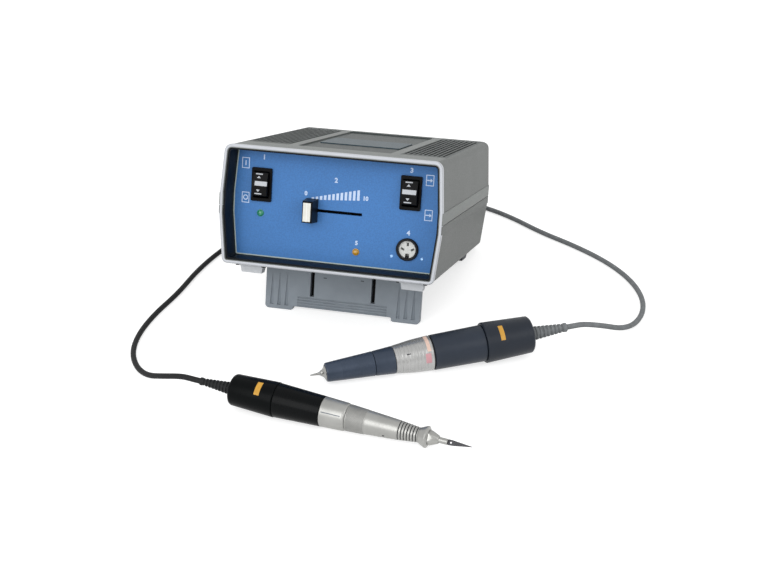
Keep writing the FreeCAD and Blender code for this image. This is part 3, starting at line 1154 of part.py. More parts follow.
    armature = armature.fuse([rod(commutator, commutator + COMMUTATOR_LENGTH, 4.0),
                              rod(core_start, core_end, RECIP_CORE_RADIUS)])
    stator = ring(core_start - 1.5, core_end + 1.5, RECIP_BORE - 0.05, RECIP_CORE_RADIUS + 0.45)
    run = PIN_RUNNING
    bearings = [ring(shaft_start + 1, shaft_start + 1 + BEARING_LENGTH - 0.5, RECIP_BORE - 0.05,
                     RECIP_SHAFT_RADIUS + run),
                ring(RECIP_BARREL_END + 1.6, RECIP_BARREL_END + 1.6 + BEARING_LENGTH, RECIP_INNER_BORE - 0.05,
                     RECIP_SHAFT_RADIUS + run)]
    brushes = [box(commutator + 1, commutator + 1 + BRUSH_LENGTH, *sorted((side * 4.25, side * (RECIP_BORE - 0.5))),
                   -1.5, 1.5) for side in (-1, 1)]
    return {
        "recip_rear_cap": cap, "recip_barrel": barrel, "recip_collar": collar, "recip_body": body,
        "recip_nose_nut": nut, "recip_plunger": plunger, "recip_blade": blade, "recip_cam": cam,
        "recip_armature": armature, "recip_magnets": stator, "recip_bearings": bearings,
        "recip_brushes": brushes, "recip_strain_relief": strain_relief(RELIEF_RECIP)}


def lying_place(rear, yaw, first, second):
    """Place of a handpiece that lies on two circles of its outside, each (place, radius)."""
    pitch = math.atan2(first[1] - second[1], second[0] - first[0])
    height = first[1] * math.cos(pitch) + first[0] * math.sin(pitch)
    turn = Rotation(Vector(0, 0, 1), yaw).multiply(Rotation(Vector(0, 1, 0), math.degrees(pitch)))
    return Placement(Vector(rear[0], rear[1], height), turn)


def rotary_place():
    return lying_place(ROTARY_REAR, ROTARY_YAW, (ROTARY_CAP_END - 0.6, ROTARY_CAP_RADII[1]),
                       (ROTARY_RING[0] + 0.5, ROTARY_RING_RADII[0]))


def recip_place():
    return lying_place(RECIP_REAR, RECIP_YAW, (RECIP_CAP_END - 0.6, RECIP_CAP_RADII[1]),
                       (RECIP_NUT_WIDEST, RECIP_NUT_RADIUS))


def placed(shape, place):
    """Copy of a shape moved by a placement."""
    moved = shape.copy()
    moved.Placement = place.multiply(moved.Placement)
    return moved


def cord_tube(name, points):
    """Round tube along straight runs joined by tangent arcs, checked by its volume."""
    corners = [Vector(*p) for p in points]
    start = corners[0]
    edges = []
    radii = []
    for i in range(1, len(corners) - 1):
        back = corners[i - 1] - corners[i]
        ahead = corners[i + 1] - corners[i]
        turn = math.pi - back.getAngle(ahead)
        reach = SHORT_ARC * min(back.Length, ahead.Length)
        radius = reach / math.tan(turn / 2)
        into = corners[i] + back.normalize() * reach
        out = corners[i] + ahead.normalize() * reach
        bisector = (into + out) * 0.5 - corners[i]
        crown = corners[i] + bisector.normalize() * (radius / math.cos(turn / 2) - radius)
        edges.append(Part.LineSegment(start, into).toShape())
        edges.append(Part.Arc(into, crown, out).toShape())
        radii.append(round(radius, 1))
        start = out
    edges.append(Part.LineSegment(start, corners[-1]).toShape())
    path = Part.Wire(edges)
    ring_edge = Part.makeCircle(CORD_RADIUS, corners[0], corners[1] - corners[0])
    tube = path.makePipeShell([Part.Wire([ring_edge])], True, False)
    expected = math.pi * CORD_RADIUS ** 2 * path.Length
    print(name, "radii", radii, "length", round(path.Length, 1), "volume ratio", round(tube.Volume / expected, 4))
    return tube


def cord_coil(at):
    """Outer shape of a wound coil of cord."""
    inner = COIL_INNER_TURN - CORD_RADIUS
    outer = COIL_INNER_TURN + (COIL_COLUMN_COUNT - 1) * COIL_PITCH + CORD_RADIUS
    high = FLOOR_CORD + (COIL_LAYER_COUNT - 1) * COIL_PITCH + CORD_RADIUS
    low = FLOOR_CORD - CORD_RADIUS
    edge = 1.2
    corners = [Vector(r, 0, z) for r, z in (
        (inner, low + edge), (inner + edge, low), (outer - edge, low), (outer, low + edge),
        (outer, high - edge), (outer - edge, high), (inner + edge, high), (inner, high - edge))]
    face = Part.Face(Part.makePolygon(corners + corners[:1]))
    return face.revolve(Vector(0, 0, 0), Vector(0, 0, 1), 360).translated(Vector(at[0], at[1], 0))


def cord_plug(tail):
    """Three-pin round plug lying at the end of a cord's tail."""
    relief_end = PLUG_RELIEF_LENGTH
    body_end = relief_end + PLUG_BODY_LENGTH
    skirt_end = body_end + PLUG_SKIRT_LENGTH
    span = (relief_end + 6, body_end - 6)
    body = turned([(0, 0), (0, CORD_RADIUS + 0.5), (relief_end, 4.2), (relief_end + 1, PLUG_RADIUS - 1.6),
                   (relief_end + 3, PLUG_RADIUS)]
                  + grooved_line(span, (PLUG_RADIUS, PLUG_RADIUS), PLUG_GRIP_COUNT, 1.2, 0.6)
                  + [(body_end - 0.8, PLUG_RADIUS), (body_end, PLUG_RADIUS - 0.8), (body_end, PLUG_SKIRT_RADIUS),
                     (skirt_end, PLUG_SKIRT_RADIUS), (skirt_end, PLUG_SKIRT_RADIUS - 0.5),
                     (body_end + 1, PLUG_SKIRT_RADIUS - 0.5), (body_end + 1, 0)])
    pins = [rod(body_end + 0.5, skirt_end - 1.0, 0.7).translated(Vector(
        0, SOCKET_PIN_CIRCLE * math.cos(math.radians(a)), SOCKET_PIN_CIRCLE * math.sin(math.radians(a))))
        for a in SOCKET_PIN_ANGLES]
    end = tail[-1]
    before = tail[-2]
    heading = math.degrees(math.atan2(end[1] - before[1], end[0] - before[0]))
    return placed(body.fuse(pins), Placement(Vector(*end), Rotation(Vector(0, 0, 1), heading)))


def cord_parts(prefix, relief, place, route, coil_at, tail):
    """Cord, coil and plug of one handpiece, in the bench frame."""
    exit_point = place.multVec(Vector(-relief[0], 0, 0))
    lead = cord_tube(prefix + " lead", [tuple(exit_point)] + list(route))
    end = cord_tube(prefix + " tail", tail)
    return {prefix + "_cord": [lead, end], prefix + "_cord_coil": cord_coil(coil_at),
            prefix + "_plug": cord_plug(tail)}


def unit_parts():
    """Every piece of the control unit, in the level case frame."""
    return {
        "upper_case": upper_case(), "lower_case": lower_case(), "front_panel": front_panel(),
        "panel_surround": panel_surround(), "rear_panel": rear_panel(), "top_badge": top_badge(),
        "case_screws": case_screws(), "front_feet": front_feet(), "rear_feet": rear_feet(),
        "stand": stand(), "stand_pins": stand_pins(),
        "power_switch_housing": switch_housing(POWER_SWITCH_AT), "power_rocker": rocker(POWER_SWITCH_AT),
        "rotation_switch_housing": switch_housing(ROTATION_SWITCH_AT),
        "rotation_rocker": rocker(ROTATION_SWITCH_AT), "speed_knob": speed_knob(),
        "slide_potentiometer": slide_potentiometer(), "power_lamp": lamp(POWER_LAMP_AT),
        "overload_lamp": lamp(OVERLOAD_LAMP_AT), "output_socket_shell": output_socket_shell(),
        "output_socket_insert": output_socket_insert(), "transformer_core": transformer_core(),
        "transformer_winding": transformer_winding(), "circuit_board": circuit_board(),
        "heat_sink": heat_sink(), "mains_inlet": mains_inlet(), "fuse_holder": fuse_holder()}


def all_parts():
    """Every node in the bench frame: one shape, or a list of separate solids."""
    nodes = {}
    for parts, place in ((unit_parts(), case_place()), (rotary_parts(), rotary_place()),
                         (recip_parts(), recip_place())):
        for name, shape in parts.items():
            group = shape if isinstance(shape, list) else [shape]
            nodes[name] = [placed(piece, place) for piece in group]
    cords = cord_parts("rotary", RELIEF_ROTARY, rotary_place(), ROTARY_ROUTE, ROTARY_COIL_AT, ROTARY_TAIL)
    cords.update(cord_parts("recip", RELIEF_RECIP, recip_place(), RECIP_ROUTE, RECIP_COIL_AT, RECIP_TAIL))
    for name, shape in cords.items():
        nodes[name] = shape if isinstance(shape, list) else [shape]
    return nodes


def export(nodes):
    """One STEP file per node."""
    os.makedirs("parts", exist_ok=True)
    for name, group in nodes.items():
        shape = group[0] if len(group) == 1 else Part.makeCompound(group)
        solids = shape.Solids
        if len(solids) != len(group) or not shape.isValid():
            print("check", name, "solids", len(solids), "pieces", len(group), "valid", shape.isValid())
        shape.exportStep(os.path.join("parts", name + ".step"))


export(all_parts())
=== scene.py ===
import math

import bmesh
import bpy
import numpy as np
from bpy.props import FloatProperty, FloatVectorProperty, IntProperty, PointerProperty
from mathutils import Matrix, Vector


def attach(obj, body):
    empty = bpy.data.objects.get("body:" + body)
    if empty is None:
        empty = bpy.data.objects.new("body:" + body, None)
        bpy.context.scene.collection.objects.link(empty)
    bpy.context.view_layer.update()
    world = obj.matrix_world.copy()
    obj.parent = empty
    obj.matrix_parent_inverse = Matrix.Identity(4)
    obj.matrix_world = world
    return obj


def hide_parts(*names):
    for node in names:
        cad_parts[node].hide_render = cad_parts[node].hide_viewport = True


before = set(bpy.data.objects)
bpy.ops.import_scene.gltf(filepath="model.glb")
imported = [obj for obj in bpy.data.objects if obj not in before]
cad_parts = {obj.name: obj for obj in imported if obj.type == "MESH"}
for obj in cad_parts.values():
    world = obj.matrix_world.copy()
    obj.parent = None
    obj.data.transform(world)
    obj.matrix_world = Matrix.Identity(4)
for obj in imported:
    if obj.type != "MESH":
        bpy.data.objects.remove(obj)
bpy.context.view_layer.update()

bl_info = {
    "name": "Bench micromotor set",
    "version": (1, 0, 0),
    "blender": (4, 5, 0),
    "location": "View3D > Sidebar > Micromotor",
    "description": "Dresses the control unit, its two handpieces and their cords",
    "category": "Object",
}

# Place of the control unit: its own level frame (x right, y to the rear, z up, in mm) leans back on the stand
UNIT_TILT = math.radians(15.5)
UNIT_AT = (-48.2, -40.5, 56.241)
# Depth of the panel's front face behind the hood's rim, and the middle of the output socket on it (x, z)
PANEL_AT = 20.0
SOCKET_AT = (57.9, 21.3)
# Rest tip of both rockers
ROCKER_TIP = math.radians(-7.0)
# Rear end, heading and dip of each handpiece, and the end of its strain relief behind the rear end
ROTARY_LIES = ((107.4, -26.9, 17.2495), -150.1, 2.9914)
RECIP_LIES = ((-83.4, -151.9, 14.0126), -6.8, 2.4929)
ROTARY_RELIEF = 29.5
RECIP_RELIEF = 26.1
# Most flats round a relief or a plug
SMALL_SIDES = 96
# Camera: its place in metres, its yaw, rise and roll in degrees, and its lens in mm
CAMERA_AT = (0.2255, -0.9075, 0.4991)
CAMERA_TURN = (14.72, 26.64, -0.34)
CAMERA_LENS = 62.48
MM = 0.001


def hue(red, green, blue):
    """Colour written as 0 to 255 on a screen, turned to the linear numbers a shader takes."""
    c = np.array([red, green, blue]) / 255.0
    return tuple(np.where(c <= 0.04045, c / 12.92, ((c + 0.055) / 1.055) ** 2.4).round(4))


# Shapes


def on_unit(points):
    """Points of the unit's level frame in mm, turned by the tilt about x and moved to its place, in
    metres."""
    p = np.asarray(points, float)
    c, s = math.cos(UNIT_TILT), math.sin(UNIT_TILT)
    out = np.stack([p[..., 0], p[..., 1] * c + p[..., 2] * s, -p[..., 1] * s + p[..., 2] * c], -1)
    return (out + np.array(UNIT_AT)) * MM


def unit_way(ways):
    """Directions of the unit's level frame after the tilt, in metres for each mm."""
    return on_unit(ways) - on_unit((0, 0, 0))


def at_depth(points, depth):
    """Points (x, z) of the unit's front plane, set at a depth behind the rim."""
    p = np.asarray(points, float)
    return np.stack([p[:, 0], np.full(len(p), float(depth)), p[:, 1]], -1)


def lying(lies):
    """Start point and three unit directions (along, across, up) of a handpiece lying at that heading and
    dip."""
    rear, heading, dip = lies
    h, d = math.radians(heading), math.radians(dip)
    along = np.array([math.cos(h) * math.cos(d), math.sin(h) * math.cos(d), -math.sin(d)])
    across = np.array([-math.sin(h), math.cos(h), 0.0])
    return np.array(rear), along, across, np.cross(along, across)


def rounded(corners, radii, steps=4):
    """Closed outline with each corner replaced by a tangent arc.
    The arc runs from p + u*r/tan(h) to p + v*r/tan(h), with u and v the unit ways to both neighbours and h
    half their angle, about the centre p + (u+v)/|u+v| * r/sin(h); the radius shrinks where a side is too
    short."""
    p = np.asarray(corners, float)
    back, ahead = np.roll(p, 1, 0) - p, np.roll(p, -1, 0) - p
    lb, la = np.linalg.norm(back, axis=1), np.linalg.norm(ahead, axis=1)
    u, v = back / lb[:, None], ahead / la[:, None]
    half = np.arccos(np.clip((u * v).sum(1), -0.99995, 0.99995)) / 2
    reach = np.minimum(np.broadcast_to(radii, (len(p),)) / np.tan(half), 0.48 * np.minimum(lb, la))
    r = reach * np.tan(half)
    middle = u + v
    middle /= np.maximum(np.linalg.norm(middle, axis=1), 1e-9)[:, None]
    centre = p + middle * (r / np.sin(half))[:, None]
    sweep = (np.pi - 2 * half)[:, None, None]
    k = np.linspace(0, 1, steps + 1)[None, :, None]
    start, end = (p + u * reach[:, None])[:, None], (p + v * reach[:, None])[:, None]
    c = centre[:, None]
    arc = c + (np.sin((1 - k) * sweep) * (start - c) + np.sin(k * sweep) * (end - c)) / np.sin(sweep)
    return arc.reshape(-1, p.shape[1])


def ringed(start, end, radii, count, width, depth):
    """Corners of a straight taper from start to end with evenly spaced square rings cut in it."""
    middle = start + (np.arange(count) + 0.5) * (end - start) / count
    place = middle[:, None] + np.array([-0.5, -0.5, 0.5, 0.5]) * width
    radius = radii[0] + (radii[1] - radii[0]) * (place - start) / (end - start)
    return np.stack([place, radius - np.array([0, 1, 1, 0]) * depth], -1).reshape(-1, 2)


def linked(name, data):
    """New object of that data, linked into the scene."""
    obj = bpy.data.objects.new(name, data)
    bpy.context.scene.collection.objects.link(obj)
    return obj


def grid_faces(rows, columns, close_rows=True):
    """Quads between neighbouring points of a grid whose columns go round; the last row may join the first."""
    i = np.arange(rows if close_rows else rows - 1)[:, None]
    j = np.arange(columns)[None, :]
    ni, nj = (i + 1) % rows, (j + 1) % columns
    corners = [i * columns + j, i * columns + nj, ni * columns + nj, ni * columns + j]
    return np.stack(corners, -1).reshape(-1, 4)


def end_caps(rows, columns):
    """Corners of a grid's first and last row, which close both ends of a tube."""
    return range(columns), range((rows - 1) * columns, rows * columns)


def grid_uv(length, girth, rows, sides):
    """UVs for each corner of each quad of a turned grid: the length along the outline and the way round."""
    i, j = np.meshgrid(np.arange(rows), np.arange(sides), indexing="ij")
    u = np.stack([length[i], length[i], length[i + 1], length[i + 1]], -1)
    v = np.stack([j, j + 1, j + 1, j], -1) * girth
    return np.stack([u, v], -1)


def build(name, points, faces, uv=None, sharp=38.0, caps=()):
    """Mesh object from arrays: points in metres, quads, and UVs for each corner of each quad.
    Doubled points at poles are merged, faces turned outwards and edges sharper than the angle kept sharp."""
    mesh = bpy.data.meshes.new(name)
    mesh.from_pydata(points.reshape(-1, 3).tolist(), [], faces.tolist() + [list(c) for c in caps])
    if uv is not None:
        layer = mesh.uv_layers.new(name="along")
        flat = np.zeros((len(mesh.loops), 2), np.float32)
        flat[:uv.reshape(-1, 2).shape[0]] = uv.reshape(-1, 2)
        layer.data.foreach_set("uv", flat.ravel())
    bm = bmesh.new()
    bm.from_mesh(mesh)
    bmesh.ops.remove_doubles(bm, verts=bm.verts, dist=1e-7)
    bmesh.ops.dissolve_degenerate(bm, dist=1e-7, edges=bm.edges)
    bmesh.ops.recalc_face_normals(bm, faces=bm.faces)
    bm.to_mesh(mesh)
    bm.free()
    mesh.polygons.foreach_set("use_smooth", np.ones(len(mesh.polygons), bool))
    mesh.set_sharp_from_angle(angle=math.radians(sharp))
    mesh.update()
    return linked(name, mesh)


def spun(s, r, a, axes):
    """Points about a handpiece's axis: at place s, radius r and angle a the point is
    start + s*along + r*(cos a * across + sin a * up)."""
    start, along, across, up = axes
    s, r, a = (v[..., None] for v in np.broadcast_arrays(s, r, a))
    return (start + s * along + r * (np.cos(a) * across + np.sin(a) * up)) * MM


def turned(name, outline, axes, sides):
    """Surface of revolution of a closed outline (place, radius).
    The UV map holds the length along the outline and the way round, in metres."""
    profile = np.asarray(outline, float)
    a = np.linspace(0, 2 * np.pi, sides, endpoint=False)
    step = np.linalg.norm(np.roll(profile, -1, 0) - profile, axis=1)
    length = np.concatenate([[0.0], np.cumsum(step)]) * MM
    girth = 2 * np.pi * float(profile[:, 1].max()) * MM / sides
    return build(name, spun(profile[:, :1], profile[:, 1:], a, axes), grid_faces(len(profile), sides),
                 grid_uv(length, girth, len(profile), sides))


def carried(name, profile, centres, across, up, closed=True):
    """Profile carried along a path: the point is centre(t) + x*across(t) + y*up(t). The centres are in
    metres, the profile is in mm, and both directions turn its mm into metres."""
    p = np.asarray(profile, float)
    points = centres[:, None] + p[None, :, :1] * across[:, None] + p[None, :, 1:] * up[:, None]
    rows, columns = len(centres), len(p)
    return build(name, points, grid_faces(rows, columns, closed),
                 caps=() if closed else end_caps(rows, columns))


def edged(name, line, ways, depth, profile, closed=True):
    """Profile carried along a line (x, z) of the unit's front plane at a depth behind the rim. The profile's
    x goes the way given at each point of the line and its y goes to the rear."""
    rearwards = np.broadcast_to(unit_way((0, 1, 0)), (len(line), 3))
    return carried(name, profile, on_unit(at_depth(line, depth)), unit_way(at_depth(ways, 0)), rearwards,
                   closed)


def wrapped(name, span, turn, radii, axes, lift):
    """Thin curved plate on a turned piece, between two places along it and two angles round it. Its outer
    face is lifted over the straight line between both radii, and its inner face is sunk below that line."""
    rows, steps, sink = 7, 17, 0.2
    s, r = np.linspace(*span, rows)[:, None], np.linspace(*radii, rows)[:, None]
    a = np.radians(np.linspace(*turn, steps))
    points = spun(s, r + np.repeat([lift, -sink], steps), np.concatenate([a, a[::-1]]), axes)
    return build(name, points, grid_faces(rows, 2 * steps, False), caps=end_caps(rows, 2 * steps))


def stamped(name, outlines, front, back, place=on_unit, ease=0.0):
    """Thin plates: each outline in x and z is a prism between two levels, its front edge drawn in by the
    ease."""
    points, faces, caps, base = [], [], [], 0
    for outline in outlines:
        o = np.asarray(outline, float)
        inwards = o.mean(0) - o
        drawn = o + inwards / np.maximum(np.linalg.norm(inwards, axis=1), 1e-6)[:, None] * ease
        levels = [(o, back), (o, front)]
        if ease:
            levels = [(o, back), (o, front + (ease if front < back else -ease)), (drawn, front)]
        rows = np.concatenate([at_depth(q, y) for q, y in levels])
        points.append(rows)
        faces.append(grid_faces(len(levels), len(o), False) + base)
        caps += [[base + corner for corner in cap] for cap in end_caps(len(levels), len(o))]
        base += len(rows)
    return build(name, place(np.concatenate(points)), np.concatenate(faces), None, 30.0, caps)


def bar(x, z, width, height):
    """Corners of a rectangle about a centre."""
    return np.array([[-0.5, -0.5], [0.5, -0.5], [0.5, 0.5], [-0.5, 0.5]]) * (width, height) + (x, z)


def disc(x, z, radius, count=24):
    """Corners of a circle."""
    a = np.linspace(0, 2 * np.pi, count, endpoint=False)
    return np.stack([x + radius * np.cos(a), z + radius * np.sin(a)], -1)


# Materials


def blank(name):
    """New material: itself, its tree, its shader, and readings of the object's coordinates and of its UV
    map."""
    mat = bpy.data.materials.new(name)
    mat.use_nodes = True
    tree = mat.node_tree
    coords = tree.nodes.new("ShaderNodeTexCoord")
    return mat, tree, tree.nodes["Principled BSDF"], coords.outputs["Object"], coords.outputs["UV"]


def fill(tree, node, sockets):
    """Fills sockets of a node: another node's output is linked, and a number or a colour is written on it."""
    for key, value in sockets.items():
        if isinstance(value, bpy.types.NodeSocket):
            tree.links.new(value, node.inputs[key])
        else:
            node.inputs[key].default_value = value


def fed(tree, kind, output, sockets, **settings):
    """New node of a kind with its settings and filled sockets; the answer is the output asked for."""
    node = tree.nodes.new("ShaderNode" + kind)
    for key, value in settings.items():
        setattr(node, key, value)
    fill(tree, node, sockets)
    return node.outputs[output]


def noise(tree, vector, size, detail=3.0):
    """Cloudy pattern whose patches are about that size in metres."""
    return fed(tree, "TexNoise", "Fac",
               {"Vector": vector, "Scale": 1.0 / size, "Detail": detail, "Roughness": 0.55})


def stretched(tree, vector, scale=(1, 1, 1), rotation=(0, 0, 0), location=(0, 0, 0)):
    """Coordinates scaled, turned and moved for a pattern with a direction."""
    return fed(tree, "Mapping", "Vector",
               {"Vector": vector, "Scale": scale, "Rotation": rotation, "Location": location})


def spread(tree, value, low=0.0, high=1.0, start=0.3, end=0.7):
    """Value from start to end mapped onto low to high."""
    return fed(tree, "MapRange", "Result",
               {"Value": value, "From Min": start, "From Max": end, "To Min": low, "To Max": high})


def step(tree, value, start, end):
    """Share that goes from 0 at the start to 1 at the end, whichever of the two is the larger."""
    if start < end:
        return spread(tree, value, 0.0, 1.0, start, end)
    return spread(tree, value, 1.0, 0.0, end, start)


def sums(tree, kind, first, second=0.0):
    """Arithmetic of two values, either of them a plain number."""
    return fed(tree, "Math", 0, {0: first, 1: second}, operation=kind)


def product(tree, first, *others):
    """Values multiplied with one another."""
    for value in others:
        first = sums(tree, "MULTIPLY", first, value)
    return first


def off(tree, value, middle):
    """How far a value is from a middle, to either side."""
    return sums(tree, "ABSOLUTE", sums(tree, "SUBTRACT", value, middle))


def between(tree, share, first, second):
    """Colour mixed from two colours by a share; a colour is three numbers or another node's output."""
    first, second = ((*c, 1.0) if isinstance(c, tuple) else c for c in (first, second))
    return fed(tree, "Mix", 2, {"Factor": share, 6: first, 7: second}, data_type="RGBA")


def shades(colour, change):
    """The same colour a little darker and a little lighter."""
    c = np.array(colour[:3], float)
    return tuple((c * (1 - change)).tolist()), tuple(np.minimum(c * (1 + change), 1.0).tolist())


def clouded(tree, place, size, colour, change):
    """Colour clouded between a little darker and a little lighter, in patches of about that size in
    metres."""
    return between(tree, spread(tree, noise(tree, place, size)), *shades(colour, change))


def raised(tree, height, depth, strength=1.0, soft_edge=0.0):
    """Bump from a height, on top of edges softened over a small radius."""
    sockets = {"Height": height, "Strength": strength, "Distance": depth}
    if soft_edge:
        sockets["Normal"] = fed(tree, "Bevel", "Normal", {"Radius": soft_edge}, samples=4)
    return fed(tree, "Bump", "Normal", sockets)


def coated(name, colour, rough=0.5, metal=0.0, mottle=0.06, patch=0.02, grain=0.0006, depth=0.00003,
           vary=0.06, soft_edge=0.0, specular=0.25):
    """Paint, plastic or metal skin: a slightly clouded colour, a fine grain in relief and an uneven gloss."""
    mat, tree, shader, place, _ = blank(name)
    fine = noise(tree, place, grain, 2.0)
    fill(tree, shader, {
        "Base Color": clouded(tree, place, patch, colour, mottle),
        "Roughness": spread(tree, fine, rough - vary, rough + vary),
        "Normal": raised(tree, fine, depth, 1.0, soft_edge),
        "Metallic": metal, "Specular IOR Level": specular})
    return mat


def lathe_metal(name, colour, rough, metal, line, depth, mottle, vary=0.07, specular=0.25):
    """Skin turned on a lathe: fine lines round the piece, read from its UV map, on a slightly clouded
    colour."""
    mat, tree, shader, place, along = blank(name)
    lines = noise(tree, stretched(tree, along, (1.0 / line, 12.0, 1.0)), 1.0, 2.0)
    cloud = spread(tree, noise(tree, place, 0.012))
    both = sums(tree, "ADD", product(tree, cloud, 0.5), product(tree, lines, 0.5))
    fill(tree, shader, {
        "Base Color": between(tree, spread(tree, both), *shades(colour, mottle)),
        "Roughness": spread(tree, lines, rough - vary, rough + vary),
        "Normal": raised(tree, lines, depth),
        "Metallic": metal, "Specular IOR Level": specular})
    return mat


def level_frame(tree, place):
    """Side, depth and height of a point in the unit's level frame, in metres, through a Mapping node."""
    c, s = math.cos(UNIT_TILT), math.sin(UNIT_TILT)
    x, y, z = (np.array(UNIT_AT) * MM).tolist()
    level = stretched(tree, place, (1, 1, 1), (UNIT_TILT, 0, 0), (-x, -(y * c - z * s), -(y * s + z * c)))
    parts = tree.nodes.new("ShaderNodeSeparateXYZ")
    tree.links.new(level, parts.inputs[0])
    return parts.outputs


def foot_rubber():
    """Light block of a front foot, with painted shade that darkens the flange's uncovered ends to near black.
    """
    mat, tree, shader, place, _ = blank("front foot rubber")
    side, _, _ = level_frame(tree, place)
    foot_at, block_half = 0.0644, 0.0091
    away = off(tree, sums(tree, "ABSOLUTE", side), foot_at)
    fine = noise(tree, place, 0.0004, 2.0)
    light = clouded(tree, place, 0.004, hue(204, 207, 211), 0.06)
    fill(tree, shader, {
        # Painted shade: the flange's ends beyond the block are near black
        "Base Color": between(tree, step(tree, away, block_half, 0.0093), light, (0.012, 0.012, 0.014)),
        "Roughness": spread(tree, fine, 0.52, 0.68),
        "Normal": raised(tree, fine, 0.00004, 1.0, 0.0003),
        "Specular IOR Level": 0.2})
    return mat


def case_paint(colour, field_colour):
    """Textured satin shell with a fine pebble grain, its colour painted at several levels of light and shade.
    Heights and sides of the unit's level frame, from a Mapping node, give the louvred top its own tone, the
    top a lighter painted level than the sides, a painted highlight on the band at the shells' seam, painted
    shade on the low sides and near-black painted shade in the slots under the louvres. Each step runs between
    two places in metres."""
    mat, tree, shader, place, _ = blank("case shell")
    side, depth, height = level_frame(tree, place)
    away = sums(tree, "ABSOLUTE", side)
    top = product(tree, step(tree, height, 0.0868, 0.0874), step(tree, away, 0.0805, 0.0795))
    border = step(tree, off(tree, away, 0.0407), 0.0034, 0.0038)
    field = product(tree, top, border, step(tree, depth, 0.0327, 0.0331))
    # Painted shade: the slots under the louvres are near black
    painted_slot_shade = product(tree, field, step(tree, away, 0.0405, 0.0415), step(tree, height, 0.0910, 0.0907))
    # Painted highlight: the band at the shells' seam is lighter
    band = product(tree, step(tree, height, 0.0442, 0.0446), step(tree, height, 0.0542, 0.0538))
    # Painted shade: the sides below the seam band are darker
    low = step(tree, height, 0.0446, 0.0442)
    cloud = spread(tree, noise(tree, place, 0.03))
    fine = noise(tree, place, 0.0009, 3.0)

    def lit(level):
        """The shells' colour at a level of painted light or shade, slightly clouded."""
        return between(tree, cloud, *shades(np.array(colour) * level, 0.04))

    # Painted light and shade: sides, low sides, seam band and top are copies of one colour at different
    # levels
    tone = between(tree, low, lit(0.66), lit(0.58))
    tone = between(tree, band, tone, lit(0.95))
    tone = between(tree, top, tone, lit(0.9))
    tone = between(tree, field, tone, between(tree, cloud, *shades(field_colour, 0.05)))
    fill(tree, shader, {
        "Base Color": between(tree, painted_slot_shade, tone, (0.006, 0.007, 0.008)),
        "Roughness": spread(tree, fine, 0.42, 0.58),
        "Normal": raised(tree, fine, 0.00005, 1.0, 0.0005),
        "Specular IOR Level": 0.22})
    return mat


def panel_paint(colour):
    """Blue panel enamel: a dense fine speckle of lighter and darker points over the colour, softly glossy."""
    mat, tree, shader, place, _ = blank("panel enamel")
    speckle = spread(tree, noise(tree, place, 0.0011, 1.0), 0.0, 1.0, 0.38, 0.62)
    tone = clouded(tree, place, 0.05, colour, 0.035)
    fill(tree, shader, {
        "Base Color": between(tree, 0.5, tone, between(tree, speckle, *shades(colour, 0.13))),
        "Roughness": spread(tree, speckle, 0.42, 0.55, 0.0, 1.0),
        "Normal": raised(tree, speckle, 0.00002, 0.8, 0.0003),
        "Specular IOR Level": 0.2})
    return mat


def lens_plastic(name, colour, glow):
    """Tinted clear lens over a lit lamp: deep clouded colour, a gloss coat and a faint glow of its own."""
    mat, tree, shader, place, _ = blank(name)
    cloud = spread(tree, noise(tree, place, 0.002))
    tint = between(tree, cloud, *shades(colour, 0.25))
    fill(tree, shader, {
        "Base Color": tint, "Emission Color": tint, "Emission Strength": glow,
        "Roughness": spread(tree, cloud, 0.12, 0.2, 0.0, 1.0), "Coat Weight": 0.6})
    return mat


def knurled(name, colour):
    """Knurled grip: two sets of slanting ridges, read from the piece's UV map, cross into small diamonds,
    with painted shade darkening the valleys between them.
    """
    mat, tree, shader, place, along = blank(name)
    ridges = []
    for turn in (0.6, -0.6):
        slanted = stretched(tree, along, rotation=(0, 0, turn))
        ridges.append(fed(tree, "TexWave", "Fac", {"Vector": slanted, "Scale": 330.0, "Distortion": 0.0}))
    diamonds = product(tree, *ridges)
    cloud = spread(tree, noise(tree, place, 0.004))
    base = between(tree, cloud, *shades(colour, 0.07))
    fill(tree, shader, {
        # Painted shade: the valleys between the diamonds are darkened
        "Base Color": between(tree, spread(tree, diamonds, 0.25, 0.0, 0.0, 0.5), base, (0.05, 0.05, 0.055)),
        "Roughness": spread(tree, cloud, 0.4, 0.5, 0.0, 1.0),
        "Normal": raised(tree, diamonds, 0.00012),
        "Metallic": 0.6})
    return mat


def banded(name, colour, second, size, direction, rough, metal):
    """Stack of thin sheets or wound wire: fine bands across one direction, in relief."""
    mat, tree, shader, place, _ = blank(name)
    bands = fed(tree, "TexWave", "Fac",
                {"Vector": place, "Scale": 0.314 / size, "Distortion": 0.6, "Detail Scale": 1.0},
                bands_direction=direction)
    fill(tree, shader, {
        "Base Color": between(tree, bands, colour, second),
        "Roughness": spread(tree, noise(tree, place, 0.006), rough - 0.08, rough + 0.08),
        "Normal": raised(tree, bands, 0.0002),
        "Metallic": metal})
    return mat


def rubber(name, colour, rough=0.62):
    """Matte moulded rubber with a dusty bloom."""
    return coated(name, colour, rough, 0.0, 0.16, 0.004, 0.0004, 0.00004, 0.1, specular=0.2)


def seen_rays(tree):
    """1 for camera, glossy and transmission rays, and 0 for all others."""
    path = tree.nodes.new("ShaderNodeLightPath")
    seen = sums(tree, "MAXIMUM", path.outputs["Is Camera Ray"], path.outputs["Is Glossy Ray"])
    return sums(tree, "MAXIMUM", seen, path.outputs["Is Transmission Ray"])


